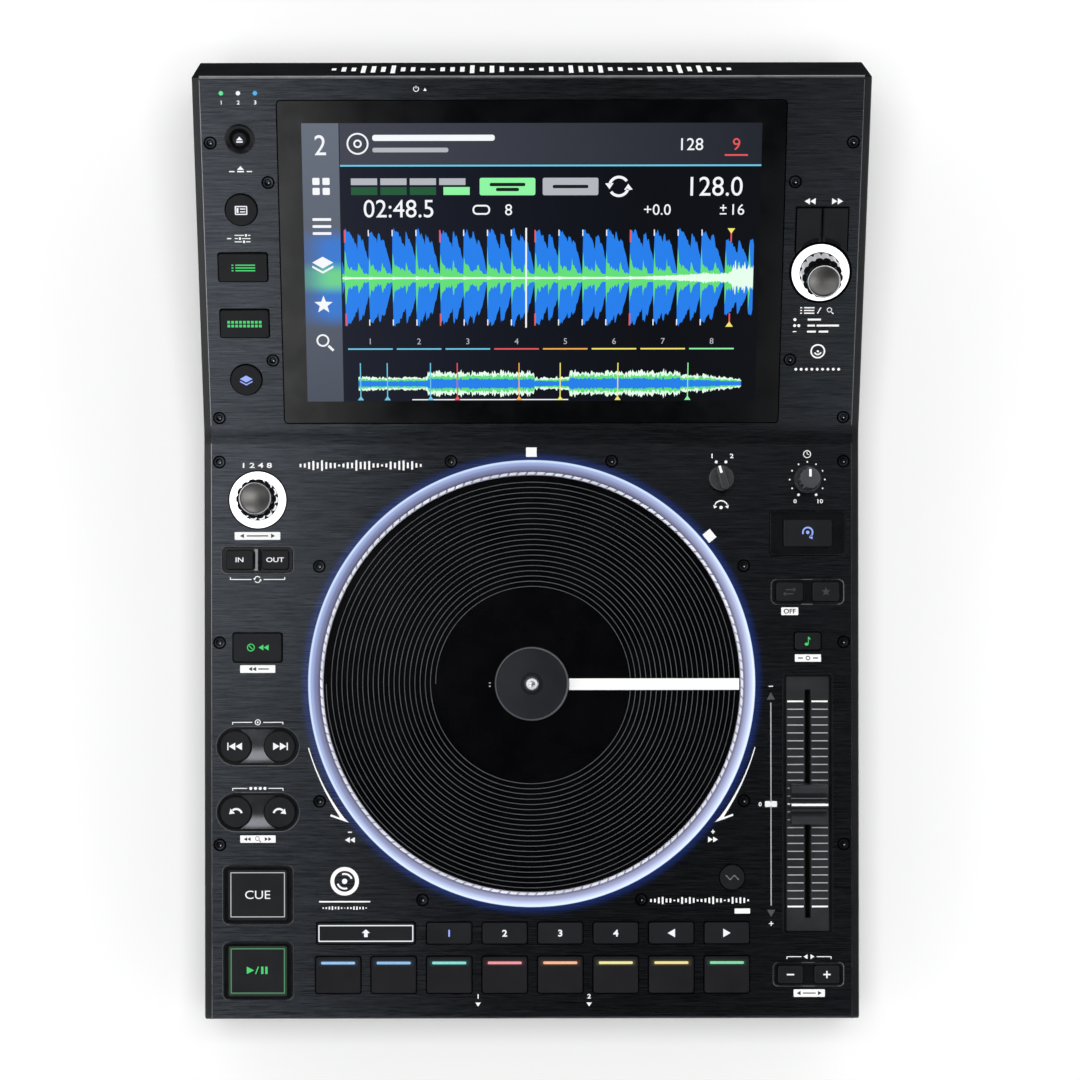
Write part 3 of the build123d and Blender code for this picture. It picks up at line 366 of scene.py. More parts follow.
electronics, tree = start_material("electronics")
grain = use_group(tree, grain_group, local(tree), Grains=0.5)
flat_at = axes_of(tree, local(tree, at(0, 0)))
lean_at = axes_of(tree, local(tree, up(0, 0)))
over = calc(tree, "GREATER_THAN", calc(tree, "MINIMUM", flat_at[2], lean_at[2]), -BOARD_DEPTH)
channel = calc(tree, "GREATER_THAN", flat_at[0], CHANNEL[0])
channel = times(tree, channel, calc(tree, "LESS_THAN", flat_at[1], CHANNEL[1]))
green = mix(tree, grain["Cloud"], tone(22, 60, 40), tone(38, 86, 60))
colour = mix(tree, calc(tree, "MAXIMUM", over, channel), green, tone(16, 16, 18))
surface(tree, {"Base Color": colour, "Roughness": 0.5}, grain["Height"], 0.02)
dress(electronics, "electronics")

# %% [markdown]
# The case is one moulding, glossier where it is touched and quite matt on the slanted rear face.
# Its material tells that face by how far back it lies, so the part stays whole.

# %% Case
REAR_FACE_Y = 217.6

case_black, tree = start_material("case_black")
where = local(tree)
grain = use_group(tree, grain_group, where, Grains=1.6)
matt = calc(tree, "GREATER_THAN", axes_of(tree, where)[1], REAR_FACE_Y)
inputs = {
    "Base Color": mix(tree, grain["Cloud"], tone(20, 21, 23), tone(28, 29, 31)),
    "Roughness": remap(tree, matt, 0, 1, 0.3, 0.7),
    "Specular IOR Level": remap(tree, matt, 0, 1, 0.35, 0.0),
}
surface(tree, inputs, grain["Height"], 0.012)
dress(case_black, "body_case")

# %% [markdown]
# The cover glass is black and glossy, with a fine haze that softens what it mirrors. Clear glass
# over a dark display looks just the same and takes longer to render, so a black surface does the
# work.

# %% Cover glass
glass_black = moulded("glass_black", tone(4, 5, 7), 0.16, grains=0.8, depth=0.001, specular=0.26)
dress(glass_black, "touchscreen")

# %% [markdown]
# The rings are milky diffusers, lit from below. Round the platter the light changes across the
# ring: a bright outer line, a pale blue slope and a lavender inner slope. The two small rings
# round the encoders are plain white. Separate rings would show seams, so one ramp follows the
# distance from the axis. Two such ramps are mixed from side to side, so that the lower right of
# the ring glows brighter. That brighter side is a painted highlight, not light from the lamps.

# %% Rings of light
RING_TONES = (
    (103.9, tone(84, 86, 112), tone(110, 112, 140)),
    (104.7, tone(112, 114, 146), tone(150, 152, 182)),
    (105.8, tone(122, 128, 168), tone(164, 170, 206)),
    (106.8, tone(140, 156, 204), tone(190, 204, 240)),
    (107.8, tone(150, 172, 222), tone(214, 228, 252)),
    (108.4, tone(208, 226, 250), tone(240, 248, 255)),
    (109.0, tone(214, 230, 252), tone(236, 246, 255)),
    (109.4, tone(60, 88, 160), tone(120, 160, 240)),
)
RING_LOW, RING_HIGH = 103.0, 110.0
PAINTED_BRIGHT_SIDE = (0.66, -0.75, 0.0)


def ramp_of(tree, factor, stops, interpolation="LINEAR"):
    """A colour ramp through (position, colour) stops."""
    ramp = add(tree, "ValToRGB", {"Fac": factor})
    ramp.color_ramp.interpolation = interpolation
    elements = ramp.color_ramp.elements
    for number, (position, colour) in enumerate(stops):
        element = elements[number] if number < 2 else elements.new(position)
        element.position = position
        element.color = colour
    return ramp.outputs[0]


def ring_ramp(tree, radius, column):
    """One side's colours across the ring."""
    stops = [((row[0] - RING_LOW) / (RING_HIGH - RING_LOW), row[column]) for row in RING_TONES]
    return ramp_of(tree, remap(tree, radius, RING_LOW, RING_HIGH), stops)


ring_light, tree = start_material("ring_light")
ring_at = local(tree, platter_place)
radius = use_group(tree, axis_group, ring_at)["Radius"]
small = calc(tree, "GREATER_THAN", radius, RING_HIGH + 10)
# Painted highlight: this side factor makes the lower right of the ring glow brighter.
lean = add(tree, "VectorMath", {0: ring_at, 1: PAINTED_BRIGHT_SIDE}, operation="DOT_PRODUCT")
side = remap(tree, lean.outputs["Value"], -90, 90, 0.0, 1.0, "SMOOTHSTEP")
around = use_group(tree, grain_group, ring_at, Grains=0.8)
glow = mix(tree, side, ring_ramp(tree, radius, 1), ring_ramp(tree, radius, 2))
glow = mix(tree, small, glow, tone(252, 252, 255))
glow = mix(tree, times(tree, around["Cloud"], 0.12), glow, tone(150, 160, 200))
surface(
    tree,
    {
        "Base Color": tone(40, 42, 48),
        "Roughness": 0.35,
        "Emission Color": glow,
        "Emission Strength": remap(tree, small, 0, 1, 1.0, 1.7),
    },
    around["Height"],
    0.01,
)
dress(ring_light, "light_rings")

# %% [markdown]
# The platter is machined aluminium, and the disc is pressed vinyl. Modelled grooves would need
# millions of faces, so both finishes follow the distance from the axis: turning marks on the
# metal, and very fine grooves in the recorded band of the disc.

# %% Platter metal and vinyl
GROOVE_FROM, GROOVE_TO = 46.8, 100.1
GROOVE_PITCH = 0.3


def turned_metal(name, colour, roughness, place, pitch=0.35):
    """Metal with fine turning marks about a place's axis."""
    material, tree = start_material(name)
    where = local(tree, place)
    radius = use_group(tree, axis_group, where)["Radius"]
    marks = calc(tree, "SINE", times(tree, radius, 2 * pi / pitch))
    grain = use_group(tree, grain_group, where, Grains=2.0)
    shade = mix(tree, grain["Cloud"], scaled(colour, 0.85), scaled(colour, 1.1))
    gloss = remap(tree, marks, -1, 1, roughness - 0.05, roughness + 0.05)
    surface(tree, {"Base Color": shade, "Metallic": 1.0, "Roughness": gloss}, marks, 0.004)
    return material


dress(turned_metal("platter_metal", tone(190, 190, 206), 0.34, platter_place), "platter")

vinyl, tree = start_material("vinyl")
where = local(tree, platter_place)
radius = use_group(tree, axis_group, where)["Radius"]
inside = calc(tree, "GREATER_THAN", radius, GROOVE_FROM)
inside = times(tree, inside, calc(tree, "LESS_THAN", radius, GROOVE_TO))
fine_grooves = times(tree, calc(tree, "SINE", times(tree, radius, 2 * pi / GROOVE_PITCH)), inside)
cloudy = use_group(tree, grain_group, where, Grains=1.0)["Cloud"]
inputs = {
    "Base Color": mix(tree, cloudy, tone(2, 2, 3), tone(6, 6, 8)),
    "Roughness": remap(tree, inside, 0, 1, 0.24, 0.2),
    "Specular IOR Level": 0.05,
}
surface(tree, inputs, fine_grooves, 0.002)
dress(vinyl, "vinyl_disc")

# %% [markdown]
# New pieces are drawn in millimetres about their own axis, then placed. `keep` turns a bmesh into
# a piece: it moves the mesh to its place, gives it its material and lets it ride on a body. `spun`
# makes round pieces from a half section, and `joined` bridges rows of points into strips and lobed
# shapes.

# %% Making a piece
def keep(name, bm, place, material, body, crease=35):
    """Turn a bmesh in millimetres into a piece that rides on a body."""
    bmesh.ops.transform(bm, matrix=place, verts=bm.verts)
    mesh = bpy.data.meshes.new(name)
    bm.to_mesh(mesh)
    bm.free()
    mesh.materials.append(material)
    mesh.shade_smooth()
    mesh.set_sharp_from_angle(angle=radians(crease))
    piece = bpy.data.objects.new(name, mesh)
    bpy.context.scene.collection.objects.link(piece)
    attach(piece, body)
    print(name, len(mesh.polygons), "faces on", body)
    return piece


def turned(bm, profile, steps=72):
    """Spin a half section, each point (radius, height), right round the upright axis."""
    verts = [bm.verts.new((radius, 0, height)) for radius, height in profile]
    edges = [bm.edges.new(pair) for pair in zip(verts, verts[1:])]
    bmesh.ops.spin(
        bm, geom=verts + edges, cent=(0, 0, 0), axis=(0, 0, 1), angle=2 * pi, steps=steps, use_merge=True
    )
    bmesh.ops.remove_doubles(bm, verts=bm.verts, dist=0.0005)
    bmesh.ops.recalc_face_normals(bm, faces=bm.faces)


def spun(name, profile, place, material, body, steps=72):
    """A piece spun from a half section."""
    bm = bmesh.new()
    turned(bm, profile, steps)
    return keep(name, bm, place, material, body)


def joined(bm, rows, endless=False):
    """A solid through closed rows of points, capped at its ends or joined back to its start."""
    loops = []
    for row in rows:
        verts = [bm.verts.new(point) for point in row]
        loops.append([bm.edges.new(pair) for pair in zip(verts, verts[1:] + verts[:1])])
    for near, far in zip(loops, loops[1:] + loops[:1] if endless else loops[1:]):
        bmesh.ops.bridge_loops(bm, edges=near + far)
    if not endless:
        bmesh.ops.edgeloop_fill(bm, edges=loops[0] + loops[-1])
    bmesh.ops.recalc_face_normals(bm, faces=bm.faces)


print("piece helpers are ready")

# %% [markdown]
# The hub clamps the disc: a black puck with a rounded shoulder and a dimple, with the steel
# spindle standing in it. Such parts come off a lathe, so a half section spun about the axis gives
# them with all their small rounds, where bevelled cylinders would need more steps.

# %% Hub and spindle
HUB_RADIUS = 18.3
PUCK_RADIUS = HUB_RADIUS - 1.3
DISC_TOP = 6.9
HUB_TOP = 10.4
DIMPLE_FLOOR = HUB_TOP - 0.8
SPINDLE_RADIUS = 3.57
SHAFT_RADIUS = 3.3
SPINDLE_TOP = 20.0
TIP_HEIGHT = 3.4
WHEEL_TOP = -36.0

hub_black = moulded("hub_black", tone(28, 30, 34), 0.45, grains=2.0, depth=0.01, specular=0.15)
shoulder_grey = turned_metal("shoulder_grey", tone(88, 90, 94), 0.3, platter_place)
spindle_steel = turned_metal("spindle_steel", tone(226, 226, 230), 0.3, platter_place)
puck = [(SHAFT_RADIUS, DISC_TOP), (PUCK_RADIUS, DISC_TOP), (PUCK_RADIUS, HUB_TOP - 0.1)]
puck += [(PUCK_RADIUS - 0.2, HUB_TOP), (5.4, HUB_TOP), (4.6, DIMPLE_FLOOR), (SHAFT_RADIUS, DIMPLE_FLOOR)]
shoulder = [(-1.25, DISC_TOP - HUB_TOP), (0, DISC_TOP - HUB_TOP), (0, -1.3), (-0.2, -0.7), (-0.6, -0.25)]
shoulder += [(-1.0, -0.05), (-1.25, -0.1)]
shoulder = [(HUB_RADIUS + reach, HUB_TOP + rise) for reach, rise in shoulder]
spindle = [(0, WHEEL_TOP), (SHAFT_RADIUS, WHEEL_TOP)]
spindle += [(reach, DIMPLE_FLOOR) for reach in (SHAFT_RADIUS, SPINDLE_RADIUS)]
for degrees in range(0, 91, 10):
    rise = TIP_HEIGHT * (sin(radians(degrees)) - 1)
    spindle.append((SPINDLE_RADIUS * cos(radians(degrees)), SPINDLE_TOP + rise))
wheel = [(0, WHEEL_TOP - 1.5), (10.0, WHEEL_TOP - 1.5), (10.0, WHEEL_TOP), (0, WHEEL_TOP)]
hub = spun("hub_puck", puck + puck[:1], platter_place, hub_black, "disc")
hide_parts("disc_hub")
for name, profile, material, steps in (
    ("hub_shoulder", shoulder + shoulder[:1], shoulder_grey, 72),
    ("spindle", spindle, spindle_steel, 48),
    ("sensor_wheel", wheel, core_steel, 48),
):
    spun(name, profile, platter_place, material, "disc", steps)

# %% [markdown]
# The disc carries one raised spiral line, 21 turns from the label to the edge. A spin with a
# widening step could draw it, but a curve keeps its section even all the way. The curve gets a
# small four-sided section, is made a mesh and is pressed low.

# %% Spiral line
SPIRAL_TURNS = 21
SPIRAL_STEPS = 110
LINE_WIDTH = 0.34
LINE_HEIGHT = 0.09


def curve_mesh(curve):
    """The mesh of a curve or text, which is then removed."""
    maker = bpy.data.objects.new("maker", curve)
    mesh = bpy.data.meshes.new_from_object(maker)
    bpy.data.objects.remove(maker)
    return mesh


curve = bpy.data.curves.new("spiral", "CURVE")
curve.dimensions = "3D"
curve.bevel_depth = LINE_WIDTH / 2
curve.bevel_resolution = 0
curve.use_fill_caps = True
spline = curve.splines.new("POLY")
count = SPIRAL_TURNS * SPIRAL_STEPS + 1
spline.points.add(count - 1)
for number, point in enumerate(spline.points):
    share = number / (count - 1)
    angle = pi - 2 * pi * SPIRAL_TURNS * share
    reach = GROOVE_FROM + (GROOVE_TO - GROOVE_FROM) * share
    point.co = (reach * cos(angle), reach * sin(angle), 0, 1)
mesh = curve_mesh(curve)
bm = bmesh.new()
bm.from_mesh(mesh)
bmesh.ops.transform(bm, matrix=Matrix.Diagonal((1, 1, 2 * LINE_HEIGHT / LINE_WIDTH, 1)), verts=bm.verts)
line_grey = moulded("line_grey", tone(80, 82, 86), 0.4, grains=1.0, depth=0.004, specular=0.2)
keep("disc_spiral", bm, at(*PLATTER_XY, above=DISC_TOP + 0.01), line_grey, "disc")

# %% [markdown]
# Print, legends and gaps are flat shapes, drawn as closed loops of points. A loop inside another
# is a hole. A picture in a material could hold them too, but shapes from a few numbers stay sharp
# at any size.

# %% Flat shapes
def box(x0, y0, x1, y1):
    return [(x0, y0), (x1, y0), (x1, y1), (x0, y1)]


def rounded_box(width, height, corner, x=0.0, y=0.0, steps=5):
    """A rounded rectangle about x, y."""
    points = []
    for side_x, side_y, start in ((1, 1, 0), (-1, 1, 90), (-1, -1, 180), (1, -1, 270)):
        for step in range(steps + 1):
            angle = radians(start + 90 * step / steps)
            points.append((
                x + side_x * (width / 2 - corner) + corner * cos(angle),
                y + side_y * (height / 2 - corner) + corner * sin(angle),
            ))
    return points


def border(width, height, corner, line, x=0.0, y=0.0):
    """A rounded frame."""
    inner = rounded_box(width - 2 * line, height - 2 * line, max(corner - line, 0.05), x, y)
    return [rounded_box(width, height, corner, x, y), inner]


def circle(radius, x=0.0, y=0.0, steps=28):
    return [
        (x + radius * cos(2 * pi * step / steps), y + radius * sin(2 * pi * step / steps))
        for step in range(steps)
    ]


def ring(radius, line, x=0.0, y=0.0, steps=36):
    return [circle(radius, x, y, steps), circle(radius - line, x, y, steps)]


def arc(radius, line, start, end, x=0.0, y=0.0, steps=24):
    """A curved stroke between two angles in degrees."""
    angles = [radians(start + (end - start) * step / steps) for step in range(steps + 1)]
    outer = [(x + (radius + line / 2) * cos(a), y + (radius + line / 2) * sin(a)) for a in angles]
    inner = [(x + (radius - line / 2) * cos(a), y + (radius - line / 2) * sin(a)) for a in angles]
    return outer + inner[::-1]


def stroke(x0, y0, x1, y1, line):
    """A straight stroke."""
    along = Vector((x1 - x0, y1 - y0)).normalized() * line / 2
    return [
        (x0 - along.y, y0 + along.x), (x0 + along.y, y0 - along.x),
        (x1 + along.y, y1 - along.x), (x1 - along.y, y1 + along.x),
    ]


def triangle(x, y, width, height, turn=0):
    """A triangle whose tip points along turn, in degrees from +X."""
    a = radians(turn)
    corners = ((-width / 2, -height / 2), (-width / 2, height / 2), (width / 2, 0))
    return [(x + px * cos(a) - py * sin(a), y + px * sin(a) + py * cos(a)) for px, py in corners]


print("flat shape helpers are ready")

# %% [markdown]
# Each flat shape becomes a thin solid. A 2D curve does it, because it fills its loops, leaves the
# holes and gives them a thickness at once. `Marks` gathers shapes and short texts, each on its own
# place, and keeps them as one piece. `printed` does the same in one call.

# %% Marks that become one piece
MARK_THICKNESS = 0.06


class Marks:
    """Flat marks gathered into one piece. A filled curve makes each a thin solid on its place."""

    def __init__(self):
        self.bm = bmesh.new()

    def take(self, curve, place, height=None, stretch=1.0):
        """Add a filled curve, scaled to a height if one is given, and centred then."""
        curve.extrude = 0.5
        mesh = curve_mesh(curve)
        fit = Matrix.Identity(4)
        if height:
            across = [vert.co.x for vert in mesh.vertices]
            up = [vert.co.y for vert in mesh.vertices]
            scale = height / (max(up) - min(up))
            centre = Vector((min(across) + max(across), min(up) + max(up), 0)) / 2
            fit = Matrix.Diagonal((scale * stretch, scale, 1, 1)) @ Matrix.Translation(-centre)
        thin = Matrix.Diagonal((1, 1, MARK_THICKNESS, 1))
        mesh.transform(place @ Matrix.Translation((0, 0, 0.3 * MARK_THICKNESS)) @ thin @ fit)
        self.bm.from_mesh(mesh)

    def draw(self, loops, place):
        """Closed loops of points; a loop inside another is a hole."""
        curve = bpy.data.curves.new("loops", "CURVE")
        curve.dimensions = "2D"
        curve.fill_mode = "BOTH"
        for points in loops:
            spline = curve.splines.new("POLY")
            spline.points.add(len(points) - 1)
            for point, (x, y) in zip(spline.points, points):
                point.co = (x, y, 0, 1)
            spline.use_cyclic_u = True
        self.take(curve, place)

    def write(self, text, height, place, stretch=1.1, weight=0.02):
        """Plain numerals or letters of a given height, centred on their place."""
        curve = bpy.data.curves.new("text", "FONT")
        curve.body = text
        curve.resolution_u = 4
        curve.offset = weight
        self.take(curve, place, height, stretch)

    def keep(self, name, material, body):
        bmesh.ops.remove_doubles(self.bm, verts=self.bm.verts, dist=1e-7)
        bmesh.ops.recalc_face_normals(self.bm, faces=self.bm.faces)
        keep(name, self.bm, Matrix.Identity(4), material, body)


def printed(name, material, body, *items):
    """One piece of marks, each item its loops and its place."""
    marks = Marks()
    for loops, place in items:
        marks.draw(loops, place)
    marks.keep(name, material, body)


print("marks are", MARK_THICKNESS, "mm thick")

# %% [markdown]
# Printed marks are matt ink, and lit legends glow through their key. The lit parts of the display
# glow too, with the faint gloss of the glass. A glow is emission over a nearly black base, so it
# keeps its colour whatever light falls on it.

# %% Inks
def ink(name, colour, glow=0.0, roughness=0.5, specular=0.5):
    """Ink or a backlit legend, a little uneven."""
    material, tree = start_material(name)
    grain = use_group(tree, grain_group, local(tree), Grains=3.0)
    low, high = (0.06, 0.08) if glow else (0.94, 1.0)
    inputs = {
        "Base Color": mix(tree, grain["Cloud"], scaled(colour, low), scaled(colour, high)),
        "Roughness": roughness,
        "Specular IOR Level": specular,
    }
    if glow:
        inputs["Emission Color"] = mix(tree, grain["Height"], scaled(colour, 0.96), colour)
        inputs["Emission Strength"] = glow
    surface(tree, inputs)
    return material


white_ink = ink("white_ink", tone(250, 250, 250))
dark_ink = ink("dark_ink", tone(28, 29, 31))
grey_ink = ink("grey_ink", tone(66, 68, 72))
line_ink = ink("line_ink", tone(172, 174, 178))
dim_ink = ink("dim_ink", tone(50, 52, 56))
soft_ink = ink("soft_ink", tone(112, 114, 118))
white_glow = ink("white_glow", tone(236, 238, 244), 1.0)
green_glow = ink("green_glow", tone(62, 206, 106), 1.0)
green_line = ink("green_line", tone(84, 148, 104), 1.0)
green_dim = ink("green_dim", tone(8, 44, 22), 1.0)
white_line = ink("white_line", tone(190, 192, 196), 1.0)
blue_glow = ink("blue_glow", tone(150, 172, 255), 1.0)
print("inks are mixed")

# %% [markdown]
# Words on the panel are replaced by small pictures. Each function gives loops about the origin in
# millimetres. Loops of one picture never cross, since a crossing would be read as a hole.

# %% Small pictures: transport
def bar(width, height, x=0.0, y=0.0):
    return box(x - width / 2, y - height / 2, x + width / 2, y + height / 2)


def skip_sign(side):
    """Two triangles against a bar."""
    turn = 0 if side > 0 else 180
    tips = [triangle(side * x, 0, 3.2, 3.7, turn) for x in (-1.55, 1.75)]
    return tips + [bar(0.6, 3.7, side * 3.75)]


def jump_sign(side):
    """A curved arrow that hops to one side."""
    bow = arc(2.7, 1.0, 90 - side * 42, 90 + side * 75, -side * 0.3, -1.1)
    tip = triangle(side * 2.3, -0.15, 2.3, 3.2, 270 + side * 48)
    return [bow, tip]


def play_sign():
    """Play, a stroke and pause."""
    slash = stroke(-1.1, -1.8, 0.3, 1.8, 0.55)
    return [triangle(-3.6, 0, 3.6, 3.7), slash, bar(1.1, 3.6, 2.2), bar(1.1, 3.6, 4.2)]


def double_sign(side, size=1.0):
    turn = 0 if side > 0 else 180
    return [triangle(side * x * size, 0, 1.6 * size, 1.9 * size, turn) for x in (-0.85, 0.85)]


def eject_sign(size=1.0):
    arrow = triangle(0, 0.45 * size, 1.5 * size, 2.7 * size, 90)
    return [arrow, bar(2.7 * size, 0.55 * size, 0, -size)]


def note_sign():
    head = [(-0.55 + 0.95 * x, -1.5 + 0.72 * y) for x, y in circle(1.0)]
    stem = [(0.12, -1.0), (0.5, -1.3), (0.5, 1.2), (1.3, 0.5), (1.35, 1.1), (0.55, 2.1), (0.12, 2.1)]
    return [head, stem]


print("transport pictures are ready")

# %% [markdown]
# Here are the pictures that say what a knob or a key does. `shifted` moves and scales a picture,
# so one drawing serves in many places.

# %% Small pictures: the rest
def shifted(loops, x=0.0, y=0.0, size=1.0):
    """The same picture at another place and size."""
    return [[(px * size + x, py * size + y) for px, py in loop] for loop in loops]


def loop_sign(size=1.0):
    """Two arrows that chase each other."""
    shapes = []
    for turn in (0, 180):
        shapes.append(arc(1.45, 0.42, turn + 35, turn + 165))
        a = radians(turn + 178)
        shapes.append(triangle(1.45 * cos(a), 1.45 * sin(a), 0.9, 1.3, turn + 272))
    return shifted(shapes, size=size)


def turn_sign():
    """A knob that turns both ways."""
    tips = [triangle(side * 2.1, 0.1, 1.0, 1.4, 270 + side * 25) for side in (-1, 1)]
    return [arc(2.2, 0.45, 25, 155)] + tips + [circle(0.55)]


def ban_sign():
    return ring(1.9, 0.45) + [stroke(-0.9, 0.9, 0.9, -0.9, 0.45)]


def power_sign(size=1.0):
    return [arc(1.35 * size, 0.38 * size, 125, 415), bar(0.38 * size, 1.5 * size, 0, 0.95 * size)]


def motor_sign():
    """A disc on its axis with an arrow round it."""
    return [circle(0.6), arc(1.7, 0.55, -60, 200), triangle(1.0, -1.75, 1.1, 1.6, 195)]


def clock_sign():
    return ring(1.6, 0.35) + [stroke(0, -0.1, 0, 1.0, 0.3), stroke(0.2, -0.1, 0.85, -0.1, 0.3)]


def swap_sign():
    tips = [triangle(side * 1.9, side * 0.75, 1.1, 1.5, 0 if side > 0 else 180) for side in (-1, 1)]
    return tips + [bar(2.6, 0.4, -0.1, 0.75), bar(2.6, 0.4, 0.1, -0.75)]


def star_sign(size=1.9):
    reach = [size if step % 2 == 0 else 0.42 * size for step in range(10)]
    return [[(r * sin(pi * step / 5), r * cos(pi * step / 5)) for step, r in enumerate(reach)]]


def wave_sign():
    top = [(x / 4, 0.7 * sin(x / 4 * pi / 1.6) + 0.25) for x in range(-10, 11)]
    return [top + [(x, y - 0.5) for x, y in reversed(top)]]


def shift_sign():
    return [[(-2.0, 0.2), (0, 2.0), (2.0, 0.2), (0.9, 0.2), (0.9, -1.8), (-0.9, -1.8), (-0.9, 0.2)]]


def tiles_sign():
    return [bar(1.3, 1.3, x * 1.9, y) for x in range(-4, 5) for y in (-0.95, 0.95)]


def sheets_sign():
    """One sheet over the edge of another."""
    upper = [(0, 1.7), (2.1, 0.5), (0, -0.7), (-2.1, 0.5)]
    return [upper, [(-2.1, -0.1), (0, -1.3), (2.1, -0.1), (2.1, -0.55), (0, -1.75), (-2.1, -0.55)]]


def window_sign():
    lines = [bar(1.9, 0.4, 0.55, y) for y in (0.5, -0.5)]
    return border(4.4, 3.2, 0.3, 0.4) + [bar(0.7, 1.8, -1.25)] + lines


def lens_sign(size=1.0):
    return shifted(ring(1.3, 0.35, -0.3, 0.3) + [stroke(0.8, -0.8, 1.8, -1.8, 0.5)], size=size)


print("pictures of what keys do are ready")

# %% [markdown]
# The last shapes are wider: lines that join a group of keys, rows of bars, sliders, lists, a
# turning disc, and white labels with their picture left out.

# %% Small pictures: lines and rows
def group_line(width, gap, way=1, tick=1.1, line=0.4):
    """A line along a group of keys, open in its middle, with a tick towards them at each end."""
    loops = []
    for side in (-1, 1):
        near, far = side * gap / 2, side * width / 2
        thin = far - side * line
        points = [(near, line / 2), (far, line / 2), (far, -tick)]
        points += [(thin, -tick), (thin, -line / 2), (near, -line / 2)]
        loops.append([(x, y * way) for x, y in points])
    return loops


def pulse_row(count, pitch, height, beats):
    """A row of upright bars that swell and fade, like a level meter over time."""
    loops = []
    for number in range(count):
        swell = abs(sin(pi * beats * (number + 0.5) / count)) * (0.72 + 0.28 * cos(2.4 * number))
        loops.append(bar(0.45 * pitch, height * (0.16 + 0.84 * swell), (number - (count - 1) / 2) * pitch))
    return loops


def tuner_sign(size=1.0):
    """Three slots, each with its knob at another place."""
    loops = []
    for row, knob in ((1.5, 1.6), (0.0, -1.2), (-1.5, 0.6)):
        for side, end in ((-1, -3.6), (1, 3.6)):
            start = knob + side * 0.9
            loops.append(bar(abs(end - start), 0.42, (start + end) / 2, row))
        loops.append(bar(0.9, 1.15, knob, row))
    return shifted(loops, size=size)


def list_sign(width=7.5, pitch=1.35, thick=0.6):
    """Three rows, each a dot and a line."""
    rows = [bar(width, thick, 1.2, y) for y in (-pitch, 0, pitch)]
    return rows + [bar(0.9, thick, -width / 2 - 0.2, y) for y in (-pitch, 0, pitch)]


def platter_sign():
    """A turning disc on its spindle."""
    return ring(7.0, 1.9) + [arc(3.6, 0.9, 20, 110), arc(3.6, 0.9, 200, 290), circle(1.3)]


def chip(width, height, *holes):
    """A white label with its picture left out of it."""
    return [rounded_box(width, height, 0.35), *holes]


print("panel pictures are ready")

# %% [markdown]
# The control deck's print is one piece, as it is one pass of one ink. It starts with the pictures
# over and under the groups and the white labels. A table of places and shapes reads like an
# artwork sheet, and one loop draws it.

# %% Control deck print
def pair(reach, width, height):
    """Two triangles that point away from each other."""
    return [triangle(-reach, 0, width, height, 180), triangle(reach, 0, width, height)]


print_marks = Marks()
disc_sign = ring(1.45, 0.4) + [circle(0.45)]
search_sign = lens_sign(0.85) + shifted(double_sign(-1), -5.2) + shifted(double_sign(1), 5.0)
for x, y, loops in (
    (-134.0, 4.4, chip(22.3, 3.8, bar(10.5, 0.6), *pair(7.6, 2.0, 2.2))),
    (-134.0, -16.9, group_line(27.0, 6.0, way=-1) + loop_sign()),
    (-134.0, -60.7, chip(17.2, 3.8, *shifted(double_sign(-1), -2.6, 0, 1.15), bar(5.2, 0.6, 2.9))),
    (-134.0, -86.8, group_line(25.0, 5.4) + disc_sign),
    (-134.0, -119.1, group_line(25.0, 10.5) + [circle(0.75, x, 0, 16) for x in (-3.45, -1.15, 1.15, 3.45)]),
    (-134.0, -143.9, chip(17.3, 3.6, *search_sign)),
    (92.8, 18.6, shifted(turn_sign(), 0, -0.6, 1.5)),
    (134.9, 44.0, shifted(clock_sign(), size=1.2)),
    (135.2, -55.7, chip(12.8, 3.6, *ring(1.1, 0.4), bar(2.4, 0.55, -3.7), bar(2.4, 0.55, 3.7))),
    (135.5, -201.8, group_line(22.0, 7.4) + pair(1.7, 1.9, 2.4)),
    (135.6, -219.6, chip(15.3, 3.7, bar(6.2, 0.55), *pair(5.2, 1.9, 2.1))),
    (126.3, -32.8, chip(8.3, 3.8)),
    (-83.5, 38.8, pulse_row(29, 2.1, 5.4, 3)),
    (-91.6, -164.6, platter_sign()),
    (-91.6, -174.6, [bar(25.0, 0.7)]),
    (-91.6, -177.7, pulse_row(15, 1.5, 2.0, 2)),
    (82.0, -174.2, pulse_row(26, 1.9, 3.9, 4)),
    (102.9, -179.4, chip(7.6, 2.5)),
):
    print_marks.draw(loops, at(x, y))
for side, x in ((-1, -89.0), (1, 88.6)):
    print_marks.draw([bar(1.9, 0.5)], at(x, -140.6))
    print_marks.draw(double_sign(side, 1.45), at(x, -144.4))
print_marks.draw([bar(0.5, 1.9)], at(88.6, -140.6, above=0.001))
print("marks so far", len(print_marks.bm.faces))

# %% [markdown]
# Then come the marks round the knobs, the numbers, and the arrows that show which way the platter
# is pushed. Dots are placed by their angle from straight back. An arrow is worked out along its
# arc, so that it keeps to the ring.

# %% Marks round the knobs, and the platter's arrows
TORQUE_XY = (92.8, 32.2)
TORQUE_TURN = 16.3
STOP_XY = (135.0, 31.6)
ARROW_RADIUS = 113.6
ARROW_STEPS = 24


def dot_round(centre, reach, degrees_right, radius, steps):
    """A dot near a knob, at an angle from straight back."""
    a = radians(degrees_right)
    x, y = centre[0] + reach * sin(a), centre[1] + reach * cos(a)
    print_marks.draw([circle(radius, steps=steps)], at(x, y))


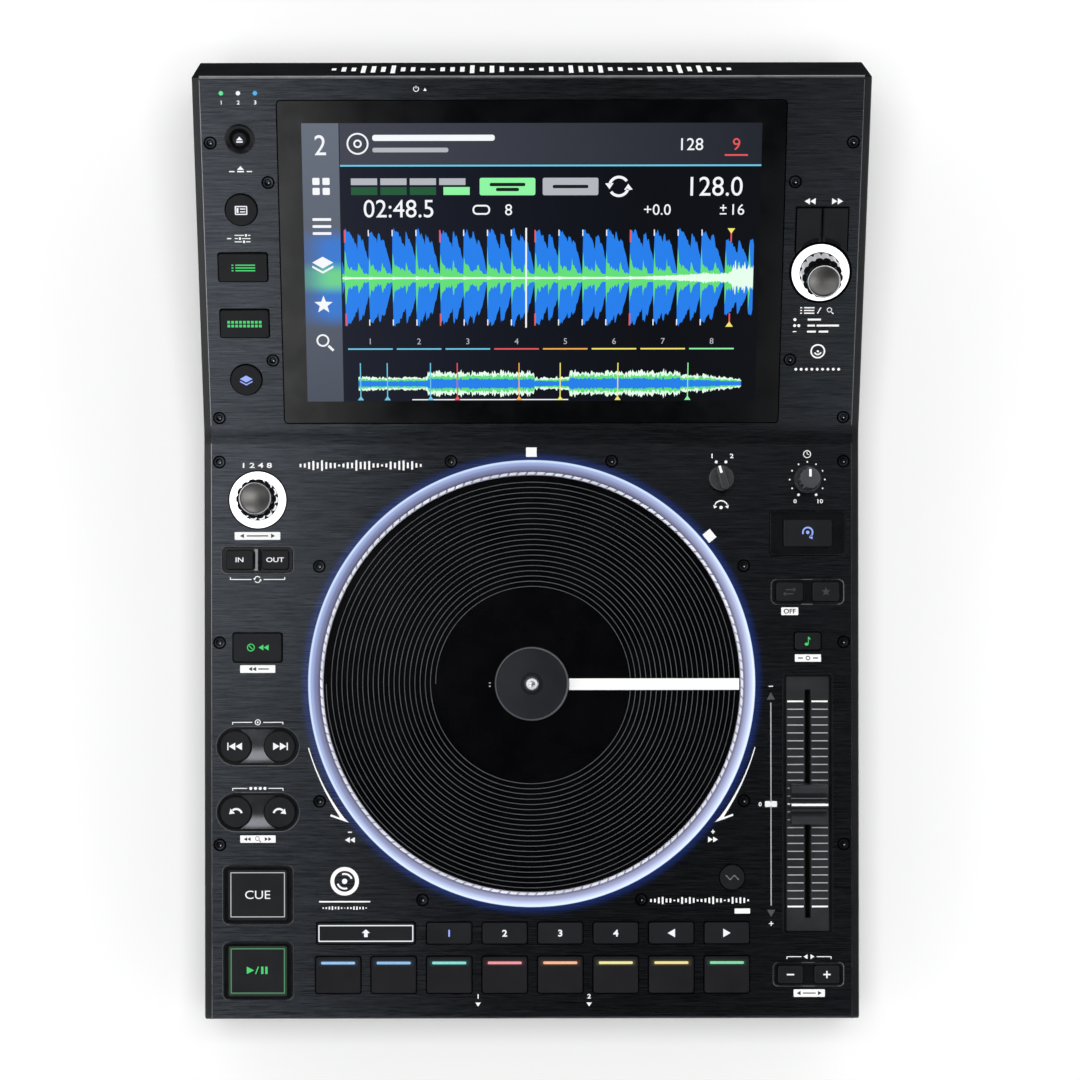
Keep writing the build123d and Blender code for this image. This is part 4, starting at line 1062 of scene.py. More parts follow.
for turn in (-TORQUE_TURN, TORQUE_TURN):
    dot_round(TORQUE_XY, 8.4, turn, 0.75, 16)
for number in range(11):
    dot_round(STOP_XY, 8.6, -150 + 30 * number, 0.68 if number in (0, 10) else 0.42, 14)
for text, x, y, height, stretch in (
    ("1 2 4 8", -134.0, 38.9, 2.5, 1.6), ("1", 88.4, 43.2, 2.2, 1.3), ("2", 98.0, 43.2, 2.2, 1.3),
    ("0", 129.0, 21.0, 2.0, 1.2), ("10", 141.3, 21.0, 2.0, 1.2), ("0", 111.7, -127.2, 2.1, 1.1),
    ("1", -26.4, -221.0, 2.2, 1.3), ("2", 27.9, -221.0, 2.2, 1.3),
):
    print_marks.write(text, height, at(x, y), stretch)
for x, y, turn in ((0, 45.2, 0), (87.1, 4.1, -50.4)):
    print_marks.draw([bar(5.2, 4.6)], at(x, y, turn))


def push_arrow(start, end):
    """A long arrow along the ring that swells towards its head, with one barb on the outer side."""
    def spot(outwards, degrees_round):
        a = radians(degrees_round)
        return (ARROW_RADIUS + outwards) * cos(a), (ARROW_RADIUS + outwards) * sin(a)

    way = 1 if end > start else -1
    outer, inner = [], []
    for step in range(ARROW_STEPS + 1):
        along = start + (end - start) * step / ARROW_STEPS
        half = 0.25 + 0.5 * (step / ARROW_STEPS) ** 2
        outer.append(spot(half, along))
        inner.append(spot(-half, along))
    barb = [spot(reach, end - way * back) for reach, back in ((1.1, 0.5), (3.6, 2.3), (4.4, 2.0))]
    return [outer[:-1] + barb + [spot(-1.2, end + way * 1.9)] + inner[::-1]]


for start, end in ((196.0, 215.3), (344.0, 324.7)):
    print_marks.draw(push_arrow(start, end), at(*PLATTER_XY))
for x in (-26.4, 27.9):
    print_marks.draw([triangle(0, 0, 2.0, 2.6, 270)], at(x, -225.0))
print("marks so far", len(print_marks.bm.faces))

# %% [markdown]
# The slider's scale lies on a plate a little below the sheet. Its lines are evenly spaced, so they
# are a loop, and the first, middle and last are bolder. A thin line with arrows runs beside it.

# %% Slider scale
SCALE_X = 117.0
FADER_XY = (135.0, -127.0)
PLATE_TOP = -0.7
FIRST_LINE, LINE_COUNT, LINE_PITCH = -76.9, 27, 3.862
LINE_OFFSET, LINE_LENGTH = 5.95, 7.9

for y in (-69.5, -185.6):
    print_marks.draw([bar(2.2, 0.45)], at(SCALE_X, y))
print_marks.draw([bar(0.45, 2.2)], at(SCALE_X, -185.6, above=0.001))
print_marks.draw([rounded_box(5.9, 2.9, 0.5)], at(SCALE_X, -127.1))
print_marks.keep("control_deck_print", white_ink, "console")

slotted = [rounded_box(20.8, 124.4, 0.6), rounded_box(2.9, 112.0, 0.3)]
printed("slider_plate", plate_grain, "console", (slotted, at(*FADER_XY, above=PLATE_TOP - 0.03)))
heads = ((-74.2, 90), (-180.6, 270))
heads = [([triangle(0, 0, 3.6, 4.0, turn)], at(SCALE_X, y, above=0.002)) for y, turn in heads]
printed("slider_arrows", grey_ink, "console", *heads)
thin_lines = [([bar(0.55, 48.6, SCALE_X, y)], at(0, 0)) for y in (-101.8, -152.4)]
bold_lines = []
for number in range(LINE_COUNT):
    bold = number % (LINE_COUNT // 2) == 0
    for side in (-1, 1):
        x = FADER_XY[0] + side * LINE_OFFSET
        place = at(x, FIRST_LINE - number * LINE_PITCH, above=PLATE_TOP)
        (bold_lines if bold else thin_lines).append(([bar(LINE_LENGTH, 0.8 if bold else 0.5)], place))
printed("slider_scale", line_ink, "console", *thin_lines)
printed("slider_scale_ends", white_ink, "console", *bold_lines)

label_marks = Marks()
label_marks.write("OFF", 2.3, at(126.3, -32.8, above=0.06))
label_marks.keep("off_label", dark_ink, "console")

# %% [markdown]
# A legend is a lit window in its key. It is a thin piece just over the key's top, which keeps its
# edges sharp, and it rides on that key, so it goes down when the key is pressed.

# %% Legends on the control deck's keys
def legend(key, place, material, loops=None, text=None, height=2.6, stretch=1.1, weight=0.03):
    """A picture or a short text on a key, which rides on that key."""
    marks = Marks()
    if loops:
        marks.draw(loops, place)
    if text:
        marks.write(text, height, place, stretch, weight)
    marks.keep(key + "_legend", material, key)


def pad_x(number):
    """The middle of a pad, counted from 0."""
    return PAD_FIRST_X + number * PAD_PITCH


PAIR_X = (-144.75, -123.25)
PAD_FIRST_X, PAD_PITCH = -94.8, 27.15
MODE_Y = -190.0
KEY_RISE = 1.5
plus = [(-1.3, 0.27), (-0.27, 0.27), (-0.27, 1.3), (0.27, 1.3), (0.27, 0.27), (1.3, 0.27)]
plus += [(-x, -y) for x, y in plus]
censor_sign = shifted(ban_sign(), -3.2) + shifted(double_sign(-1), 3.0, 0, 1.5)
for key, x, y, rise, material, loops in (
    ("censor", -134, -50.2, KEY_RISE, green_glow, censor_sign),
    ("track_skip_back", PAIR_X[0], -98.5, KEY_RISE, white_glow, skip_sign(-1)),
    ("track_skip_forward", PAIR_X[1], -98.5, KEY_RISE, white_glow, skip_sign(1)),
    ("beat_jump_back", PAIR_X[0], -130.7, KEY_RISE, white_glow, jump_sign(-1)),
    ("beat_jump_forward", PAIR_X[1], -130.7, KEY_RISE, white_glow, jump_sign(1)),
    ("motor", 135, 5.4, 1.8, blue_glow, shifted(motor_sign(), 0, 0.3, 1.4)),
    ("sync", 126.1, -23.3, KEY_RISE, dim_ink, shifted(swap_sign(), 0, 0, 1.35)),
    ("master", 143.9, -23.3, KEY_RISE, dim_ink, star_sign(2.3)),
    ("key_lock", 135, -47.4, 1.0, green_glow, note_sign()),
    ("slip", 97.9, -162.9, KEY_RISE, soft_ink, shifted(wave_sign(), 0, 0, 1.3)),
    ("bend_minus", 126.3, -210.4, KEY_RISE, white_glow, [bar(3.6, 0.75)]),
    ("bend_plus", 144.1, -210.4, KEY_RISE, white_glow, shifted([plus], size=1.36)),
    ("shift", -81.2, MODE_Y, KEY_RISE, white_glow, shift_sign() + border(46.4, 8.2, 0.4, 0.55)),
    ("page_left", pad_x(6), MODE_Y, KEY_RISE, white_glow, [triangle(0, 0, 3.6, 4.2, 180)]),
    ("page_right", pad_x(7), MODE_Y, KEY_RISE, white_glow, [triangle(0, 0, 3.6, 4.2, 0)]),
):
    legend(key + "_button", at(x, y, above=rise), material, loops)
for number in range(4):
    glow = white_glow if number else blue_glow
    place = at(pad_x(number + 2), MODE_Y, above=KEY_RISE)
    legend(f"mode_{number + 1}_button", place, glow, text=str(number + 1), height=3.4)
for key, x, text in (("loop_in_button", -142.7, "IN"), ("loop_out_button", -125.3, "OUT")):
    legend(key, at(x, -7.3, above=KEY_RISE), white_glow, text=text, height=2.3, stretch=1.3, weight=0.01)

# %% [markdown]
# The two large keys are lit round their borders too. A border is one rounded outline inside
# another, and the play key has a wider, dimmer one beneath it, where the light fades into the key.

# %% Cue and play
CUE_XY, PLAY_XY = (-134, -171.0), (-134, -208.2)
BIG_KEY_RISE = 2.0

legend("cue_button", at(*CUE_XY, above=BIG_KEY_RISE), white_glow, None, "CUE", 4.1, 1.14, 0.0)
legend("play_button", at(-134, -207.9, above=BIG_KEY_RISE), green_glow, play_sign())
for key, part, material, shape, xy, lift in (
    ("cue_button", "_border", white_line, border(26.6, 22.0, 0.3, 0.42), CUE_XY, 0.0),
    ("play_button", "_border", green_line, border(26.4, 22.0, 0.3, 0.4), PLAY_XY, 0.02),
    ("play_button", "_glow", green_dim, border(28.3, 24.0, 0.8, 1.5), PLAY_XY, 0.0),
):
    printed(key + part, material, key, (shape, at(*xy, above=BIG_KEY_RISE + lift)))

# %% [markdown]
# Every pad has a lit bar near its upper edge, in a colour of its own. Eight materials would do,
# but the pad's own rubber also catches a little of the light. So one node group gives the colour,
# from a ramp along X, and how near the bar a point is.

# %% Pad colours
PAD_BAR_Y = -204.5
PAD_RISE = 1.2
PAD_TONES = (
    tone(96, 172, 232), tone(90, 168, 228), tone(70, 214, 204), tone(236, 104, 118),
    tone(255, 160, 90), tone(240, 226, 120), tone(240, 218, 100), tone(60, 208, 130),
)

colour_group, source, sink = start_group("pad_colours", ("Color", "Near"))
axes = axes_of(colour_group, source.outputs[0])
start = PAD_FIRST_X - PAD_PITCH / 2
across = remap(colour_group, axes[0], start, start + 8 * PAD_PITCH)
stops = [(number / 8, colour) for number, colour in enumerate(PAD_TONES)]
away = calc(colour_group, "ABSOLUTE", calc(colour_group, "SUBTRACT", axes[1], PAD_BAR_Y))
near = remap(colour_group, away, 0.6, 1.9, 1.0, 0.0, "SMOOTHSTEP")
from_first = calc(colour_group, "SUBTRACT", axes[0], PAD_FIRST_X)
middle = calc(colour_group, "PINGPONG", from_first, PAD_PITCH / 2)
near = times(colour_group, near, remap(colour_group, middle, 8.0, 10.5, 1.0, 0.0, "SMOOTHSTEP"))
feed(colour_group, sink, {"Color": ramp_of(colour_group, across, stops, "CONSTANT"), "Near": near})
print("pad colours", len(PAD_TONES))

# %% [markdown]
# The pads are soft rubber, which glows a little beside its bar. The bar is the brighter part, a
# thin rounded piece that rides on its pad.

# %% Pads and their bars
pad_rubber, tree = start_material("pad_rubber")
where = local(tree)
grain = use_group(tree, grain_group, where, Grains=2.4)
pad_colour = use_group(tree, colour_group, where)
inputs = {
    "Base Color": mix(tree, grain["Cloud"], tone(22, 22, 25), tone(28, 28, 31)),
    "Roughness": remap(tree, grain["Cloud"], 0, 1, 0.44, 0.54),
    "Specular IOR Level": 0.12,
    "Emission Color": mix(tree, times(tree, pad_colour["Near"], 0.07), (0, 0, 0, 1), pad_colour["Color"]),
    "Emission Strength": 1.0,
}
surface(tree, inputs, grain["Height"], 0.02)

pad_light, tree = start_material("pad_light")
where = local(tree)
cloudy = use_group(tree, grain_group, where, Grains=1.0)["Height"]
lit = mix(tree, times(tree, cloudy, 0.35), use_group(tree, colour_group, where)["Color"], (1, 1, 1, 1))
inputs = {"Base Color": tone(60, 60, 60), "Roughness": 0.3, "Emission Strength": 0.95}
surface(tree, {**inputs, "Emission Color": lit})

for number in range(8):
    pad = f"pad_{number + 1}"
    dress(pad_rubber, pad)
    place = at(pad_x(number), PAD_BAR_Y, above=PAD_RISE)
    printed(pad + "_light", pad_light, pad, ([rounded_box(16.6, 1.3, 0.55)], place))

# %% [markdown]
# The torque bar and the stop-time knob each carry a white pointer, and the slider's cap a white
# line along its ridge. A thin grey line beside it is a painted highlight, where the cap's flank
# would catch the light. They are thin pieces that ride on their knob and turn with it. The
# stop-time knob's pointer also runs down its flank, so its second bar is tilted.

# %% Pointers
TORQUE_RISE = 13.0
STOP_RISE = 15.98
RIDGE_RISE, FLANK_HIGHLIGHT_RISE = 11.2, 8.16

flank = at(STOP_XY[0], STOP_XY[1] + 4.9, above=15.2) @ Matrix.Rotation(radians(-86.7), 4, "X")
stop_top = moulded("stop_top", tone(50, 52, 56), 0.35, grains=1.6, spread=0.35)
stop_bars = [([bar(1.2, 3.6, 0, 2.4)], at(*STOP_XY, 0, STOP_RISE + 0.05)), ([bar(1.0, 9.0, 0, 4.6)], flank)]
torque_top = (*TORQUE_XY, TORQUE_TURN, TORQUE_RISE)
printed("stop_time_pointer", white_ink, "stop_time_knob", *stop_bars)
for name, material, body, loop, place in (
    ("stop_time_top", stop_top, "stop_time_knob", circle(4.25, steps=48), (*STOP_XY, 0, STOP_RISE)),
    ("torque_pointer", white_ink, "torque_knob", bar(1.2, 3.5, 0, 3.9), torque_top),
    ("pitch_fader_line", white_ink, "pitch_fader_cap", bar(17.8, 1.15), (*FADER_XY, 0, RIDGE_RISE)),
    # Painted highlight: a grey line where the slider cap's flank would catch the light.
    ("pitch_fader_flank_highlight", soft_ink, "pitch_fader_cap", bar(17.6, 0.35, 0, 3.0), (*FADER_XY, 0, FLANK_HIGHLIGHT_RISE)),
):
    printed(name, material, body, ([loop], at(*place)))

# %% [markdown]
# An encoder knob is a lobed grip under a satin metal cap. A spin can only make what is round, so
# the grip is one outline of round lobes, repeated at a few heights and bridged: a glossy flank,
# which mirrors the ring of light below it, and a matt black shoulder. The cap is spun: a bright
# rim round a low dome.

# %% Encoder knobs
LOOP_XY = (-133.8, 22.0)
SELECT_XY = (138.8, 80.6)
GRIP_RADIUS = 8.95
LOBE_COUNT, LOBE_RISE, LOBE_STEPS = 14, 0.75, 10
CAP_TOP = 18.5
CAP_RADIUS = 7.3
DOME_RISE = 1.25

grip_gloss = moulded("grip_gloss", tone(10, 10, 12), 0.07, grains=2.4, depth=0.001, specular=1.0)
grip_matt = moulded("grip_matt", tone(12, 12, 14), 0.5, grains=2.4, depth=0.004, specular=0.08)
cap_satin = moulded("cap_satin", tone(122, 121, 120), 0.36, 2.8, 0.004, spread=0.08, metallic=1.0)
rim_bright = moulded("rim_bright", tone(205, 205, 206), 0.24, grains=2.8, depth=0.003, metallic=1.0)


def lobed(sections):
    """A solid with a lobed outline, from (height, inset) sections."""
    bm = bmesh.new()
    angles = [2 * pi * k / (LOBE_COUNT * LOBE_STEPS) for k in range(LOBE_COUNT * LOBE_STEPS)]
    rows = []
    for height, inset in sections:
        radius = GRIP_RADIUS - inset
        reach = [radius + LOBE_RISE * (1 - abs(sin(LOBE_COUNT / 2 * a)) ** 7) for a in angles]
        rows.append([(r * cos(a), r * sin(a), height) for r, a in zip(reach, angles)])
    joined(bm, rows)
    return bm


def encoder_knob(body, place):
    """The grip and cap of one encoder knob."""
    flank = lobed(((1.2, -0.1), (1.4, -0.3), (10.4, 0.0)))
    grip = keep(body + "_grip", flank, place, grip_gloss, body)
    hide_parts(body)
    shoulder = lobed(((10.4, 0.0), (10.8, 0.0), (11.0, 0.2)))
    keep(body + "_grip_top", shoulder, place, grip_matt, body)
    neck = [(0, 10.9), (8.2, 10.9), (8.0, 17.7), (7.7, 18.2), (7.5, 18.2), (7.5, 10.9)]
    rim = [(7.45, 17.0), (7.9, 17.8), (7.75, 18.3), (7.5, CAP_TOP), (7.3, 18.3), (7.25, 17.0), (7.45, 17.0)]
    dome = [(CAP_RADIUS * k / 8, 17.4 + DOME_RISE * (1 - (k / 8) ** 2)) for k in range(9)]
    dome += [(CAP_RADIUS, 16.9), (0, 16.9)]
    stem = [(0, -14.0), (2.9, -14.0), (2.9, 1.3), (0, 1.3)]
    for part, profile, material, steps in (
        ("_neck", neck, grip_gloss, 64), ("_rim", rim, rim_bright, 64),
        ("_cap", dome, cap_satin, 64), ("_stem", stem, grip_gloss, 24),
    ):
        spun(body + part, profile, place, material, body, steps)


encoder_knob("loop_knob", at(*LOOP_XY))
encoder_knob("select_knob", up(*SELECT_XY))

# %% [markdown]
# The screws have six-sided sockets. A head is spun, and the rim and floor of its socket are then
# drawn out to six sides, which is less work than cutting a hexagon. One screw is copied to every
# place.

# %% Screws
FLAT_SCREWS = [(152.6, y) for y in (40.6, -47.8, -146.7)]
FLAT_SCREWS += [(39.3, 40.7), (103.8, -10.5), (103.8, -125.5), (53.5, -173.8)]
LEANING_SCREWS = ((152.3, 143.7), (152.3, 8.4), (125.4, 124.7), (125.4, 37.4))
FLOOR_SCREWS = ((149.0, -221.0), (149.0, 205.0))
SOCKET_RADIUS = 1.25
SOCKET_REACH = (1.0, 1.6)
SOCKET_FLOOR = -1.3
FLOOR_HEIGHT = 5.0

screw_metal = moulded("screw_metal", tone(54, 57, 62), 0.28, grains=3.0, depth=0.004, metallic=1.0)


def six_sided(bm):
    """Draw the rim and floor of a round socket out to six sides."""
    for vert in bm.verts:
        reach = sqrt(vert.co.x**2 + vert.co.y**2)
        if SOCKET_REACH[0] < reach < SOCKET_REACH[1] and vert.co.z > SOCKET_FLOOR:
            angle = atan2(vert.co.y, vert.co.x) % (pi / 3)
            scale = cos(pi / 6) / cos(angle - pi / 6)
            vert.co.x *= scale
            vert.co.y *= scale


def keep_screws(name, material, *groups, socket=False):
    """One piece of spun screws or rings, each group a half section and its places."""
    bm = bmesh.new()
    for profile, places in groups:
        one = bmesh.new()
        turned(one, profile, steps=24)
        if socket:
            six_sided(one)
        mesh = bpy.data.meshes.new("screw")
        one.to_mesh(mesh)
        one.free()
        for place in places:
            copy = mesh.copy()
            copy.transform(place)
            bm.from_mesh(copy)
    bmesh.ops.recalc_face_normals(bm, faces=bm.faces)
    return keep(name, bm, Matrix.Identity(4), material, "console")


def both_sides(place_of, spots):
    """Places on the right and on the left."""
    return [place_of(side * x, y) for x, y in spots for side in (-1, 1)]


print("screw helpers are ready")

# %% [markdown]
# The deck screws are countersunk and the floor's have low heads. Black rings between the head and
# the sheet and round each socket are painted shade for the gaps there, and a bright bead in each
# socket catches the light.

# %% Screws in the decks and the floor
deck_places = both_sides(at, FLAT_SCREWS) + both_sides(up, LEANING_SCREWS)
under = Matrix.Translation((0, 0, FLOOR_HEIGHT * MM)) @ Matrix.Rotation(pi, 4, "X")
floor_places = both_sides(lambda x, y: on_deck(under, x, -y), FLOOR_SCREWS)
head = [(0, -1.2), (1.2, -1.2), (SOCKET_RADIUS, -0.2), (1.45, -0.1), (2.35, -0.1), (2.55, -0.3)]
head += [(2.5, -0.7), (1.25, -1.7), (1.25, -7.0), (0, -7.0)]
low_head = [(0, 0.9), (1.2, 0.9), (SOCKET_RADIUS, 1.9), (1.45, 2.0), (2.0, 2.0), (2.9, 1.2), (2.9, 0.0)]
low_head += [(1.25, 0.0), (1.25, -8.0), (0, -8.0)]
wide_gap_shade = [(2.55, 0.0), (2.6, 0.06), (3.15, 0.06), (3.2, 0.0), (3.0, -0.1), (2.55, 0.0)]
socket_gap_shade = [(1.15, -0.05), (1.2, -0.02), (1.5, -0.02), (1.55, -0.1), (1.15, -0.05)]
bead = [(0, -0.3), (0.2, -0.33), (0.38, -0.43), (0.5, -0.57), (0.55, -0.75), (0.55, -1.19), (0, -1.19)]
bead_places = [place @ Matrix.Translation((0.42, -0.42, 0)) for place in deck_places]
screws = keep_screws("screw_heads", screw_metal, (head, deck_places), (low_head, floor_places), socket=True)
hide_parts("case_screws")
# Painted shade: black rings for the gaps round each head and its socket.
keep_screws("screw_gap_shade", gap_shade_black, (wide_gap_shade, deck_places), (socket_gap_shade, deck_places))
keep_screws("socket_glints", rim_bright, (bead, bead_places))
print(len(deck_places), "deck screws,", len(floor_places), "floor screws")

# %% [markdown]
# A thin black frame on the sheet is painted shade for the gap round each key and each small ring
# of light, where little light gets in. A deeper gap would still catch the wide soft light, so the
# shade is drawn as a black frame.

# %% Painted shade in the gaps round the keys
key_gap_shade = Marks()
gap_list = [(up, -138.5, 83.6, 23.2, 13.6), (up, -138.5, 55.9, 23.2, 13.6), (at, -134.0, -50.2, 23.6, 13.8)]
gap_list += [(at, -81.2, MODE_Y, 47.8, 10.2), (at, 135.0, -47.4, 12.6, 8.2)]
gap_list += [(at, pad_x(number), MODE_Y, 21.7, 10.2) for number in range(2, 8)]
gap_list += [(at, pad_x(number), -210.4, 21.8, 17.7) for number in range(8)]
for place_of, x, y, width, height in gap_list:
    outer = rounded_box(width + 1.2, height + 1.2, 1.5)
    key_gap_shade.draw([outer, rounded_box(width + 0.3, height + 0.3, 1.3)], place_of(x, y))
for radius, line, steps, place in (
    (8.04, 0.45, 36, up(-138.5, 111.6)), (8.04, 0.45, 36, up(-138.5, 27.8)),
    (6.55, 0.4, 36, at(97.9, -162.9)), (14.5, 0.55, 64, at(*LOOP_XY)), (15.1, 1.15, 64, up(*SELECT_XY)),
):
    key_gap_shade.draw(ring(radius, line, steps=steps), place)
for corners in ((-12.3, 10.4, -12.85, 31.7), (12.3, 10.4, 12.85, 31.7), (-12.85, 31.7, 12.85, 32.2)):
    key_gap_shade.draw([box(*corners)], up(*SELECT_XY))
key_gap_shade.keep("key_gap_shade", gap_shade_black, "console")

# %% [markdown]
# Each key tray sits in a hole whose edge was cut bright. The edge is a small bead with its slope
# towards the tray, so it catches the light from the left on the tray's far side. The tray's
# outline, set out by three small steps and bridged, makes a closed band.

# %% Tray edges
TRAYS = (
    (-134.0, -7.3, 34.8, 12.6, 2.4), (-134.0, -98.5, 40.2, 18.6, 9.2), (-134.0, -130.7, 40.2, 18.6, 9.2),
    (-134.0, -171.2, 34.0, 28.4, 2.6), (-134.0, -208.4, 34.0, 28.0, 2.6), (135.0, 5.4, 37.0, 21.7, 2.0),
    (135.0, -23.3, 35.0, 11.6, 2.4), (135.2, -210.4, 34.0, 11.0, 2.0),
)
EDGE_SECTION = ((0.02, 0.0), (0.42, 0.22), (0.5, -0.02))
tray_metal = moulded("tray_metal", tone(116, 118, 122), 0.26, grains=2.0, depth=0.004, metallic=1.0)

bm = bmesh.new()
for x, y, width, height, corner in TRAYS:
    rows = []
    for outset, z in EDGE_SECTION:
        outline = rounded_box(width + 2 * outset, height + 2 * outset, corner + outset, steps=8)
        rows.append([at(x, y) @ Vector((px, py, z)) for px, py in outline])
    joined(bm, rows, endless=True)
keep("tray_edges", bm, Matrix.Identity(4), tray_metal, "console")

# %% [markdown]
# Between the round keys the tray's floor sweeps up at the front. Between the loop keys it is a low
# ridge. Cross sections that are bridged one after another give such a sweep, and each can have its
# own width and height.

# %% Tray floors between the keys
TRAY_FLOOR = -0.88
KEY_RADIUS = 8.0
HALF_SPACING = 10.75
SADDLE_BACK, SADDLE_FRONT, SADDLE_HALF = 8.3, -8.2, 8.4
SWEEP_FROM, SWEEP_LOW, SWEEP_RISE = 2.0, -0.84, 1.0
SADDLE_STEPS = 16
saddle_gloss = moulded("saddle_gloss", tone(100, 102, 106), 0.19, grains=2.0, depth=0.003, metallic=1.0)


def saddle_row(place, y, half, edge, middle):
    """One cross section, from its half width and its heights at the edges and in the middle."""
    quarter = (edge + 3 * middle) / 4
    points = ((-half, edge), (-half / 2, quarter), (0, middle), (half / 2, quarter), (half, edge))
    return [place @ Vector((x, y, z)) for x, z in (*points, (half, TRAY_FLOOR), (-half, TRAY_FLOOR))]


bm = bmesh.new()
for tray_y in (-98.5, -130.7):
    rows = []
    for step in range(SADDLE_STEPS + 1):
        y = SADDLE_BACK + (SADDLE_FRONT - SADDLE_BACK) * step / SADDLE_STEPS
        half = min(SADDLE_HALF, HALF_SPACING - sqrt(max(0.0, KEY_RADIUS**2 - y**2)))
        swept = max(0.0, (SWEEP_FROM - y) / (SWEEP_FROM - SADDLE_FRONT))
        lift = SWEEP_LOW + SWEEP_RISE * swept**3
        rows.append(saddle_row(at(-134.0, tray_y), y, half, lift, lift))
    joined(bm, rows)
joined(bm, [saddle_row(at(-134.0, -7.3), end, 1.75, -0.8, -0.42) for end in (-5.3, 5.3)])
keep("tray_saddles", bm, Matrix.Identity(4), saddle_gloss, "console")

# %% [markdown]
# The sheet is cut bright along its sides, and bright again where it turns down at the rear. A
# bevel of the sheet itself would change a construction part, so these are thin strips on its
# edges, each a small section bridged from end to end.

# %% Bright edges
DECK_HALF = 156.8
DECK_FRONT = -232.0
REAR_EDGE = 175.2
SHEET_BEND = 1.0
edge_metal = moulded("edge_metal", tone(132, 134, 138), 0.3, grains=2.0, depth=0.004, metallic=1.0)

bm = bmesh.new()
outer = DECK_HALF - 0.05
section = [(outer, -0.35), (outer, 0.0), (outer - 0.4, 0.06), (outer - 0.45, -0.35)]
for place_of, ends in ((at, (DECK_FRONT, 52.5)), (up, (1.5, 173.4))):
    for side in (-1, 1):
        joined(bm, [[place_of(0, y) @ Vector((side * x, 0, z)) for x, z in section] for y in ends])
keep("sheet_edges", bm, Matrix.Identity(4), edge_metal, "console")

bm = bmesh.new()
rows = []
for degrees in range(90, -1, -15):
    a = radians(degrees)
    inner, outer = [(REAR_EDGE - SHEET_BEND + r * cos(a), r * sin(a) - SHEET_BEND) for r in (0.6, 1.02)]
    loop = [(-1, *outer), (1, *outer), (1, *inner), (-1, *inner)]
    rows.append([up(0, 0) @ Vector((side * (DECK_HALF - 0.2), y, z)) for side, y, z in loop])
joined(bm, rows)
keep("rear_edge", bm, Matrix.Identity(4), edge_metal, "console")

# %% [markdown]
# The platter's rim is set with a row of small bright pads, each a sloping lozenge on the bevel.
# One pad is modelled, and a spin that duplicates it fills the row.

# %% Strobe pads
PAD_COUNT = 144
PAD_LOW, PAD_HIGH = (103.25, 2.72, -0.5), (101.95, 4.02, 0.5)
PAD_HALF = 1.75
pad_silver = moulded("pad_silver", tone(240, 241, 248), 0.3, grains=2.0, depth=0.004)

bm = bmesh.new()
rows = []
for lift in (-0.014, 0.084):
    corners = ((PAD_LOW, -PAD_HALF), (PAD_LOW, PAD_HALF), (PAD_HIGH, PAD_HALF), (PAD_HIGH, -PAD_HALF))
    rows.append([(reach + lift, end + skew, rise + lift) for (reach, rise, skew), end in corners])
joined(bm, rows)
bmesh.ops.spin(
    bm, geom=bm.verts[:] + bm.edges[:] + bm.faces[:], cent=(0, 0, 0), axis=(0, 0, 1),
    angle=2 * pi * (PAD_COUNT - 1) / PAD_COUNT, steps=PAD_COUNT - 1, use_duplicate=True,
)
keep("platter_pads", bm, platter_place, pad_silver, "platter")

# %% [markdown]
# The white marker stripe shows how far the disc has turned, so it rides on the disc, as does the
# small mark on the label. Both are printed on its top.

# %% Disc stripe and dots
stripe = [box(18.2, -3.1, 101.0, 2.5)]
dots = [circle(0.45, -20.4, -1.2, 12), bar(0.9, 0.5, -20.4, 0.4)]
printed("disc_stripe", white_ink, "disc", (stripe, at(*PLATTER_XY, above=DISC_TOP + 0.12)))
printed("disc_dot", line_ink, "disc", (dots, at(*PLATTER_XY, above=DISC_TOP)))

# %% [markdown]
# The display deck is printed and lit like the control deck: indicator labels, the pictures beside
# the keys, and the legends on the keys. `up` puts them on the slope, and the rest is the same.

# %% Display deck print
deck_print = Marks()
for x, text in ((-146.4, "1"), (-138.4, "2"), (-130.4, "3")):
    deck_print.write(text, 1.9, up(x, 162.9))
browse_sign = shifted(list_sign(5.0), -6.0) + shifted(lens_sign(0.95), 5.2)
browse_sign.append(stroke(-0.8, -1.5, 0.8, 1.5, 0.5))
for x, u, loops in (
    (-54.5, 169.2, power_sign(0.9)),
    (-50.3, 169.0, [triangle(0, 0, 1.4, 1.6, 90)]),
    (-138.3, 131.2, eject_sign(1.2) + [bar(2.6, 0.5, side * 4.2, -1.2) for side in (-1, 1)]),
    (-138.3, 97.6, [bar(2.0, 0.6, -6.4)] + tuner_sign(1.05)),
    (132.7, 115.3, double_sign(-1, 1.6)),
    (145.8, 115.3, double_sign(1, 1.6)),
    (138.8, 61.9, browse_sign),
    (138.8, 41.6, ring(3.6, 0.75) + [arc(1.6, 0.7, 200, 340), circle(0.55)]),
    (138.8, 32.6, [circle(0.7, (number - 4) * 2.6, 0, 14) for number in range(9)]),
    (127.2, 51.4, [bar(1.8, 0.5)]),
):
    deck_print.draw(loops, up(x, u))
for x, u in ((127.2, 57.4), (127.2, 54.4), (129.2, 54.4)):
    deck_print.draw([circle(0.75, steps=16)], up(x, u))
for u, *bars in (
    (57.4, (136.6, 6.4)), (54.4, (135.2, 3.6), (143.2, 10.8)), (51.4, (135.4, 4.2), (141.2, 4.6)),
):
    deck_print.draw([bar(width, 0.95, x) for x, width in bars], up(0, u))
deck_print.keep("display_deck_print", white_ink, "console")

